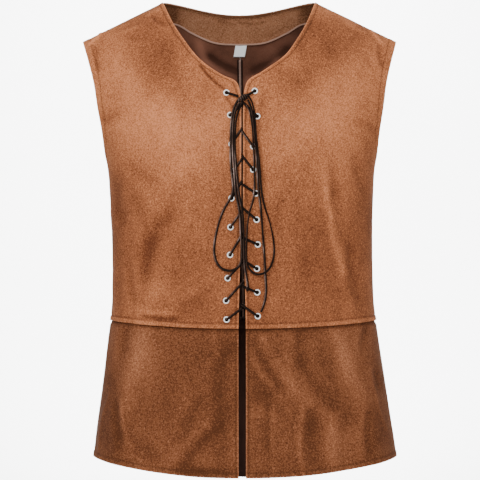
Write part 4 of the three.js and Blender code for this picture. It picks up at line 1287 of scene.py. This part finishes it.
label = Shell(label_surface, np.linspace(-1, 1, LABEL["steps"]), np.linspace(0, 1, LABEL["steps"]))
from_edge = np.minimum(label.left, label.right)
folded = LABEL_FOLD["height"] * smoothstep((LABEL_FOLD["reach"] - from_edge) / LABEL_FOLD["over"])
label_depth = LABEL_BEHIND + LABEL_CURL * (1 - label.row) ** 2
label.raise_by(-label_depth, label_depth + LABEL["thickness"] + folded)
label_piece = label.build("neck_label_cloth", LABEL_CLOTH, LABEL_CLOTH)
stand_for(label_piece, "label", "neck_label")

# ---------------------------------------------------------------- seam allowances inside


ALLOWANCE_STRIP = dict(thickness=1.1, deep=1.0, step=4, sides=8)
OVERLOCK_STRIP = dict(width=3.4, thickness=0.6, deep=1.45, sides=6)
# The inside thread is painted darker in the body than near the neck: painted shade, as the inside lies
# deeper in shadow there.
THREAD_SHADE = dict(below=-210.0, over=80, tone=0.6)
EDGE_ROWS = {  # a panel's edge, and a row of its points further in
    "left": (np.s_[:, 0], np.s_[:, 2]),
    "right": (np.s_[:, -1], np.s_[:, -3]),
    "top": (np.s_[-1, :], np.s_[-3, :]),
}


def allowance(name, panel, edge, width, span):
    """An overlocked seam allowance ironed flat over the seam on the wrong side, with its pale thread; its
    dark knit is painted shade.
    """
    shell = panels[panel][0]
    at_edge, further_in = EDGE_ROWS[edge]
    points, normals = shell.inner[at_edge][span], shell.normal[at_edge][span]
    across = unit(shell.inner[further_in][span] - points)
    points, normals, across = resampled(points, ALLOWANCE_STRIP["step"], normals, across)
    middle = points - normals * ALLOWANCE_STRIP["deep"]
    strip = ribbon(name, middle, across, width, ALLOWANCE_STRIP["thickness"], ALLOWANCE_IN_SHADE,
                   ALLOWANCE_STRIP["sides"])
    stand_for(strip, "suede")
    middle = points - normals * OVERLOCK_STRIP["deep"]
    thread = ribbon(f"{name}_overlock", middle, across, OVERLOCK_STRIP["width"],
                    OVERLOCK_STRIP["thickness"], OVERLOCK, OVERLOCK_STRIP["sides"])
    below = THREAD_SHADE["below"] - vertex_points(thread)[:, 2]
    set_attribute(thread, "nap", -THREAD_SHADE["tone"] * smoothstep(below / THREAD_SHADE["over"]))
    stand_for(thread, "suede")


ALLOWANCE_WIDTH, SHOULDER_ALLOWANCE_WIDTH = 8.0, 7.0
LABEL_CLEAR = 1.5  # the centre back's allowance starts this far under the label
UNDERARM_CLEAR = 0.015  # share of the side seam left bare under the arm
NECK_CLEAR = 0.08  # and of the shoulder seam beside the neck
BARE_STEPS = dict(centre_low=2, side_low=3, skirt_top=8, shoulder_end=5)  # grid steps left bare
back_rows = panels["back_bodice_left"][0].row[:, 0]
under_label = (LABEL["height"] + LABEL_CLEAR) / (FACING_EDGE[0]["z"] - UNDERARM_Z)
label_row = int(np.searchsorted(back_rows, 1 + FACING_ROW * (1 - under_label)))
underarm_row = int(np.searchsorted(back_rows, 1 - UNDERARM_CLEAR))
past_neck = int(np.searchsorted(panels["front_bodice_left"][0].share[0], NECK_CLEAR))
SPANS = dict(
    centre=slice(BARE_STEPS["centre_low"], label_row),
    side=slice(BARE_STEPS["side_low"], underarm_row),
    skirt=slice(BARE_STEPS["side_low"], -BARE_STEPS["skirt_top"]),
    shoulder=slice(past_neck, -BARE_STEPS["shoulder_end"]),
)
allowance("centre_back_allowance", "back_bodice_left", "left", ALLOWANCE_WIDTH, SPANS["centre"])
for side_name in ("right", "left"):
    for name, panel, edge, width, span in (
        ("side_allowance", "front_bodice", "right", ALLOWANCE_WIDTH, SPANS["side"]),
        ("skirt_allowance", "front_skirt", "right", ALLOWANCE_WIDTH, SPANS["skirt"]),
        ("shoulder_allowance", "front_bodice", "top", SHOULDER_ALLOWANCE_WIDTH, SPANS["shoulder"]),
    ):
        allowance(f"{name}_{side_name}", f"{panel}_{side_name}", edge, width, span)

# ---------------------------------------------------------------- the lace

LACE_WIDTH = 3.5
LACE_THICKNESS = 1.35
LACE_SIDES = 10
LACE_TIP = 0.75  # width of its cut ends, as a share
LACING_SAMPLES = 4  # points along the lace from one place of its route to the next
BOW_SAMPLES = 6
# The side of every lace that gets the painted highlight: towards the left and the front, where the key light
# stands.
HIGHLIGHT_SIDE = np.array([-0.86, -0.5, 0.1])
OUTWARD = np.array([0.0, -1.0, 0.0])  # off the front
# The lacing: its heights off the cloth, then distances along it and where its strands cross.
LACING = dict(out=2.6, on=1.5, under=-3.1, behind=-3.6, through=1.9, slit=-0.75, eased=0.1, sunk=0.4,
              bend=1.2, slack=0.25, near=6.0, edge=2.2, bar=8.0, at_knot=3.0, stagger=2.1, rise=0.52)
OVER = 4.9  # height of the bow where it crosses the lacing and the eyelets
ON = 1.5  # and where it lies on the cloth

BOW = {
    "lace_loop_right": [
        (-4.6, -146.8, 5), (-8.2, -152, 4.6), (-11.6, -160, OVER), (-13.6, -170, OVER),
        (-15.2, -184, OVER), (-15.8, -203, OVER), (-15.8, -224, OVER), (-15, -243, OVER),
        (-13.2, -258, OVER), (-12.4, -270, OVER), (-14.6, -280.5, OVER), (-19.2, -289, 2.6),
        (-25, -299, 1.6), (-31, -314, ON), (-35.6, -331, ON), (-38.2, -346, ON),
        (-38.8, -358, ON), (-36, -371, ON), (-29, -380.5, 2), (-19, -384, 3.6),
        (-10.5, -382.5, OVER), (-4, -377.4, OVER), (-0.8, -368, OVER), (-0.6, -354, OVER),
        (-1.4, -338, OVER), (-2, -322, OVER), (-2.8, -307, OVER), (-5, -294, OVER),
        (-8, -280, OVER), (-9.6, -265, OVER), (-10.6, -246, OVER), (-12.2, -226, OVER),
        (-12.8, -204, OVER), (-12.3, -184, OVER), (-10.6, -168, 4.4), (-6.8, -157.6, 4.6),
        (-3.1, -151.2, 5.4),
    ],
    "lace_loop_left": [
        (8.8, -142.4, 5.2), (12.4, -147.6, 5), (15, -155, 4.4), (17, -165, OVER),
        (18.4, -180, OVER), (19.6, -197, OVER), (21.4, -214, OVER), (23.2, -232, OVER),
        (24.8, -250, OVER), (26.2, -266, OVER), (28.2, -282, OVER), (31.8, -297, 2.4),
        (36.8, -312, 1.5), (41.2, -329, ON), (43.8, -345, ON), (44.4, -358, ON),
        (42.4, -371, 1.6), (37.8, -381, 3.2), (31, -387, OVER), (22.6, -389.2, OVER),
        (14.6, -386.2, 4.4), (8.2, -378.6, OVER), (6, -366, OVER), (6, -350, OVER),
        (6.8, -334, OVER), (8, -318, OVER), (10.4, -303, OVER), (14.4, -290, OVER),
        (17, -276, OVER), (17.4, -262, OVER), (17, -246, OVER), (16.6, -228, OVER),
        (15.4, -208, OVER), (14.2, -190, OVER), (12.6, -174, OVER), (10, -162, 4.4),
        (6.6, -154.2, 5),
    ],
    "lace_end_left": [
        (8, -147.4, 4.6), (11.6, -155.6, 4.6), (14.4, -168, OVER), (16.2, -184, OVER),
        (17.8, -202, OVER), (19.6, -220, OVER), (21, -238, OVER), (21.8, -256, OVER),
        (23, -274, OVER), (25.2, -292, OVER), (27, -310, OVER), (28.2, -328, OVER),
        (29.6, -346, 3), (30.8, -362, 1.5), (31.6, -378, ON), (32.6, -394, ON),
        (33.4, -410, ON), (32, -424, ON), (28.6, -435.6, ON), (26, -441.4, ON),
    ],
    "lace_end_right": [
        (0.2, -149.4, 4.6), (-3.6, -160, 4.6), (-8, -174, OVER), (-9.5, -190, OVER),
        (-9.9, -208, OVER), (-9.1, -228, OVER), (-7.8, -247, OVER), (-5.8, -264, OVER),
        (-4, -279, OVER), (-1.4, -292, OVER), (0.8, -305, OVER), (2, -320, OVER),
        (2.4, -336, OVER), (2.8, -352, OVER), (3, -366, OVER), (4, -380, OVER),
        (6.2, -393, OVER), (7.8, -404, 4.4), (7.6, -411.6, 4),
    ],
}


def lace_point(place):
    """A route's place across, up and off the cloth, as a point."""
    x, z, lift = place
    point = on_form("front", np.array(x - lean_at(z)), np.array(float(z)))
    return point + lift * OUTWARD


def towards(start, goal, distance, lift):
    """A route's place some way from start to goal, lifted off the cloth."""
    share = distance / math.hypot(goal[0] - start[0], goal[1] - start[1])
    return (mix(start[0], goal[0], share), mix(start[1], goal[1], share), lift)


def lacing_route(first_side):
    """One half of the lacing, from the middle of the bottom bar up to the knot."""
    size = LACING
    name = {-1: "right", 1: "left"}
    height = lambda pair: (EYELETS[pair]["right"][1] + EYELETS[pair]["left"][1]) / 2
    bottom = len(EYELETS) - 1
    start = EYELETS[bottom][name[first_side]]
    middle = (first_side * SEAM_GAP, height(bottom))
    route = [(*middle, size["under"]), towards(middle, start, size["bar"], size["under"]),
             towards(start, middle, size["bend"], size["behind"])]
    side = first_side
    for pair in range(bottom, 0, -1):
        here, goal = EYELETS[pair][name[side]], EYELETS[pair - 1][name[-side]]
        pass_z = mix(height(pair), height(pair - 1), size["rise"]) + first_side * size["stagger"]
        through, edge = (0.0, pass_z), float(gap_at(pass_z)) + size["edge"]
        route += [
            (*here, -size["through"]), (*here, size["through"] / 2),
            towards(here, through, size["bend"], size["out"]),
            towards(here, through, size["near"], size["out"]),
            towards(through, here, edge, size["on"]),
            (side * size["slack"], pass_z, size["on"] - size["eased"]),
            (0.0, pass_z, size["slit"]),
            (-side * size["slack"], pass_z, size["under"] + size["eased"]),
            towards(through, goal, edge, size["under"]),
            towards(goal, through, size["near"], size["behind"]),
            towards(goal, through, size["bend"], size["behind"]),
        ]
        side = -side
    last = EYELETS[0][name[side]]
    end_x = KNOT["x"] + side * (KNOT["length"] / 2 + SEAM_GAP)
    end = (end_x, mix(last[1], KNOT["z"], (last[0] - end_x) / (last[0] - KNOT["x"])))
    route += [
        (*last, -size["through"]), (*last, size["through"] / 2),
        towards(last, end, size["bend"], size["out"]),
        towards(end, last, size["at_knot"], mix(size["out"], KNOT["lift"], 0.5)),
        (*end, KNOT["lift"] - size["sunk"]),
    ]
    return route


def spline(points, per_span):
    """A smooth line through points, with per_span samples from each to the next."""
    padded = np.concatenate([[2 * points[0] - points[1]], points, [2 * points[-1] - points[-2]]])
    samples = []
    for i in range(1, len(padded) - 2):
        a, b, c, d = padded[i - 1], padded[i], padded[i + 1], padded[i + 2]
        ab, bc, cd = (max(np.linalg.norm(q - p) ** 0.5, 1e-6) for p, q in ((a, b), (b, c), (c, d)))
        slope_b = (b - a) / ab - (c - a) / (ab + bc) + (c - b) / bc
        slope_c = (c - b) / bc - (d - b) / (bc + cd) + (d - c) / cd
        for t in np.arange(per_span) / per_span:
            h1, h2 = 2 * t**3 - 3 * t**2 + 1, t**3 - 2 * t**2 + t
            h3, h4 = -2 * t**3 + 3 * t**2, t**3 - t**2
            samples.append(h1 * b + h2 * bc * slope_b + h3 * c + h4 * bc * slope_c)
    return np.array(samples + [points[-1]])


HEADING_WINDOW = 9  # points over which the heading is evened out
TWISTS = [dict(pitch=23.0, share=1.0, start=0.0), dict(pitch=9.3, share=0.5, start=1.0)]


def width_directions(line, lean, twist):
    """Which way the lace's width runs: square to its heading, leaning off the cloth and twisting."""
    heading = np.gradient(line, axis=0)
    heading[:, 1] = 0
    window = np.ones(HEADING_WINDOW) / HEADING_WINDOW
    for k in (0, 2):
        padded = np.pad(heading[:, k], HEADING_WINDOW // 2, mode="edge")
        heading[:, k] = np.convolve(padded, window, mode="valid")
    heading = unit(heading)
    across = np.stack([-heading[:, 2], 0 * heading[:, 0], heading[:, 0]], 1)
    ruler = lengths_along(line)
    turn = lean + twist * sum(t["share"] * np.sin(ruler / t["pitch"] + t["start"]) for t in TWISTS)
    return across * np.cos(turn)[:, None] + OUTWARD * np.sin(turn)[:, None]


def paint_highlight_side(piece, line):
    """Mark how far each point of a lace lies towards its painted highlight side."""
    away = unit(vertex_points(piece).reshape(len(line), -1, 3) - line[:, None])
    set_attribute(piece, "rubbed", np.clip(away @ HIGHLIGHT_SIDE, 0, 1) ** 2)


def lace_piece(name, route, per_span, lean, twist):
    line = spline(np.array([lace_point(p) for p in route]), per_span)
    across = width_directions(line, lean, twist)
    piece = ribbon(f"{name}_suede", line, across, LACE_WIDTH, LACE_THICKNESS, LACE, LACE_SIDES, LACE_TIP)
    paint_highlight_side(piece, line)
    stand_for(piece, "lace", name)
    return piece, line


for name, first_side in (("a", -1), ("b", 1)):
    lace_piece(f"lace_lacing_{name}", lacing_route(first_side), LACING_SAMPLES, lean=0.0, twist=0.12)


# The turns of lace round the knot: place along it, half height, half depth and lean.
KNOT_TURNS = [
    dict(along=-6.2, tall=2.6, deep=2.2, lean=1.4),
    dict(along=-3.0, tall=3.6, deep=2.8, lean=0.8),
    dict(along=0.2, tall=4.0, deep=3.1, lean=0.2),
    dict(along=3.4, tall=3.8, deep=3.0, lean=-0.5),
    dict(along=6.6, tall=2.7, deep=2.3, lean=-1.2),
]
KNOT_TURN = dict(width=2.9, thickness=1.4, steps=28, sides=10)
KNOT_MIDDLE = dict(width=3.6, thickness=2.2, sides=10, tip=0.6)
KNOT_CORE = [  # the lace that runs through their middle: along, up and out
    (-9.6, -0.2, -0.6), (-6.2, 0.5, 0.7), (-2.4, -0.5, 1.4),
    (1.8, 0.4, 1.4), (6.0, 0.6, 0.9), (9.8, 0.8, -0.4),
]
KNOB = [dict(back=0.4, radius=1.7), dict(back=2.4, radius=2.1), dict(back=4.2, radius=1.6)]
KNOB_TURN = dict(width=2.2, thickness=1.3, steps=18, sides=8)
KNOB_SLANT = 0.3


def lace_turn(name, centre, axis, first, second, shape):
    """A closed turn of lace round an axis, through centre + first and centre + second."""
    angle = np.linspace(0, 2 * math.pi, shape["steps"], endpoint=False)
    ring = centre + np.outer(np.cos(angle), first) + np.outer(np.sin(angle), second)
    across = np.repeat(axis[None], len(ring), 0)
    piece = ribbon(name, ring, across, shape["width"], shape["thickness"], LACE, shape["sides"], closed=True)
    paint_highlight_side(piece, ring)
    return piece


def knot_pieces():
    """The bow's knot: turns of lace wrapped round a lace that runs through its middle."""
    centre = lace_point((KNOT["x"], KNOT["z"], KNOT["lift"]))
    tilt = math.radians(KNOT["tilt"])
    axis = np.array([math.cos(tilt), 0.0, math.sin(tilt)])
    up = np.array([-axis[2], 0.0, axis[0]])
    made = [
        lace_turn(f"lace_knot_turn_{number}", centre + axis * turn["along"], axis,
                  up * turn["tall"] + axis * turn["lean"], OUTWARD * turn["deep"], KNOT_TURN)
        for number, turn in enumerate(KNOT_TURNS, 1)
    ]
    places = [centre + axis * along + up * high + OUTWARD * out for along, high, out in KNOT_CORE]
    line = spline(np.array(places), BOW_SAMPLES)
    core = ribbon("lace_knot_core", line, np.repeat(up[None], len(line), 0), KNOT_MIDDLE["width"],
                  KNOT_MIDDLE["thickness"], LACE, KNOT_MIDDLE["sides"], KNOT_MIDDLE["tip"])
    paint_highlight_side(core, line)
    return made + [core]


def knob_pieces(line):
    """The small tight knot at a lace's end: turns of lace, each some way back along its end."""
    heading = unit(line[-1] - line[-4])
    side = np.cross(heading, OUTWARD)
    out = np.cross(side, heading)
    made = []
    for number, turn in enumerate(KNOB, 1):
        radius = turn["radius"]
        piece = lace_turn(f"lace_end_knob_{number}", line[-1] - heading * turn["back"], heading,
                          radius * (side + KNOB_SLANT * heading), radius * out, KNOB_TURN)
        made.append(stand_for(piece, "lace"))
    return made


# What each free part ends in, how far it leans on edge and how much it twists, in radians.
BOW_PARTS = {
    "lace_loop_right": dict(far_end="object", lean=0.1, twist=0.25),
    "lace_loop_left": dict(far_end="object", lean=0.85, twist=0.3),
    "lace_end_left": dict(far_end="bare", lean=0.3, twist=0.4),
    "lace_end_right": dict(far_end="knot", lean=0.5, twist=0.4),
}

knot = knot_pieces()
for piece in knot:
    stand_for(piece, "lace", "lace_knot")

for name, route in BOW.items():
    part = BOW_PARTS[name]
    piece, line = lace_piece(name, route, BOW_SAMPLES, part["lean"], part["twist"])
    length = float(lengths_along(line)[-1]) * MM
    extra = knob_pieces(line) if part["far_end"] == "knot" else ()
    if name == "lace_loop_right":  # the first loop carries the bow's knot
        extra = knot

# ---------------------------------------------------------------- floor and light


BACKDROP = dict(floor=-1.25, front=-6.0, bend=4.8, radius=1.4, height=7.0, half=9.0)  # metres
BEND_FROM, BEND_STEPS = 0.1, 14  # angle where the curve up starts, and its steps


def backdrop():
    """A plain pale floor that curves up behind into a wall."""
    floor_z, bend, radius = BACKDROP["floor"], BACKDROP["bend"], BACKDROP["radius"]
    profile = [(BACKDROP["front"], floor_z), (bend, floor_z)]
    profile += [(bend + radius * math.sin(a), floor_z + radius * (1 - math.cos(a)))
                for a in np.linspace(BEND_FROM, math.pi / 2, BEND_STEPS)]
    profile += [(bend + radius, floor_z + BACKDROP["height"])]
    vertices = [(s * BACKDROP["half"] / MM, y / MM, z / MM) for y, z in profile for s in (-1, 1)]
    faces = [[2 * i, 2 * i + 1, 2 * i + 3, 2 * i + 2] for i in range(len(profile) - 1)]
    paint = Paint("paint", Roughness=0.9)
    paint.color(paint.noise(scale=2, detail=2), (0.3, (0.93,) * 3), (0.7, (0.95,) * 3))
    add_mesh("backdrop", np.array(vertices), faces, [paint.material])


backdrop()


LIGHTS = [  # soft round lights, in metres and watts
    dict(name="key", place=(-1.0, -2.3, 1.3), aim=(0, 0, -0.25), size=1.1, power=50),
    dict(name="fill", place=(0.9, -3.2, 0.5), aim=(0, 0, -0.35), size=1.8, power=41),
    dict(name="top", place=(0.2, 0.3, 2.2), aim=(0, 0.1, -0.2), size=1.2, power=16),
    dict(name="back_left", place=(-1.3, 2.9, 0.8), aim=(0, 0, -0.3), size=1.4, power=30),
    dict(name="back_right", place=(1.3, 2.9, 0.8), aim=(0, 0, -0.3), size=1.4, power=26),
]
WALL_LIGHT = dict(place=(0, 2.4, 1.8), aim=(0, 6.2, -0.35), spread=64, blend=0.8, size=0.4, power=5400)
WORLD_STRENGTH = 0.62


def aim_light(data, place, aim):
    light = bpy.data.objects.new(data.name, data)
    bpy.context.scene.collection.objects.link(light)
    light.location = place
    light.rotation_euler = (Vector(aim) - Vector(place)).to_track_quat("-Z", "Y").to_euler()


def wall_light():
    """A soft-edged spot that brightens the part of the wall behind the vest."""
    data = bpy.data.lights.new("wall", "SPOT")
    data.spot_size, data.spot_blend = math.radians(WALL_LIGHT["spread"]), WALL_LIGHT["blend"]
    data.shadow_soft_size, data.energy = WALL_LIGHT["size"], WALL_LIGHT["power"]
    aim_light(data, WALL_LIGHT["place"], WALL_LIGHT["aim"])


for row in LIGHTS:
    lamp = bpy.data.lights.new(row["name"], "AREA")
    lamp.shape, lamp.size, lamp.energy = "DISK", row["size"], row["power"]
    aim_light(lamp, row["place"], row["aim"])
wall_light()

world = bpy.data.worlds.new("studio")
bpy.context.scene.world = world
world.use_nodes = True
world.node_tree.nodes["Background"].inputs["Color"].default_value = (1.0, 1.0, 1.0, 1.0)
world.node_tree.nodes["Background"].inputs["Strength"].default_value = WORLD_STRENGTH
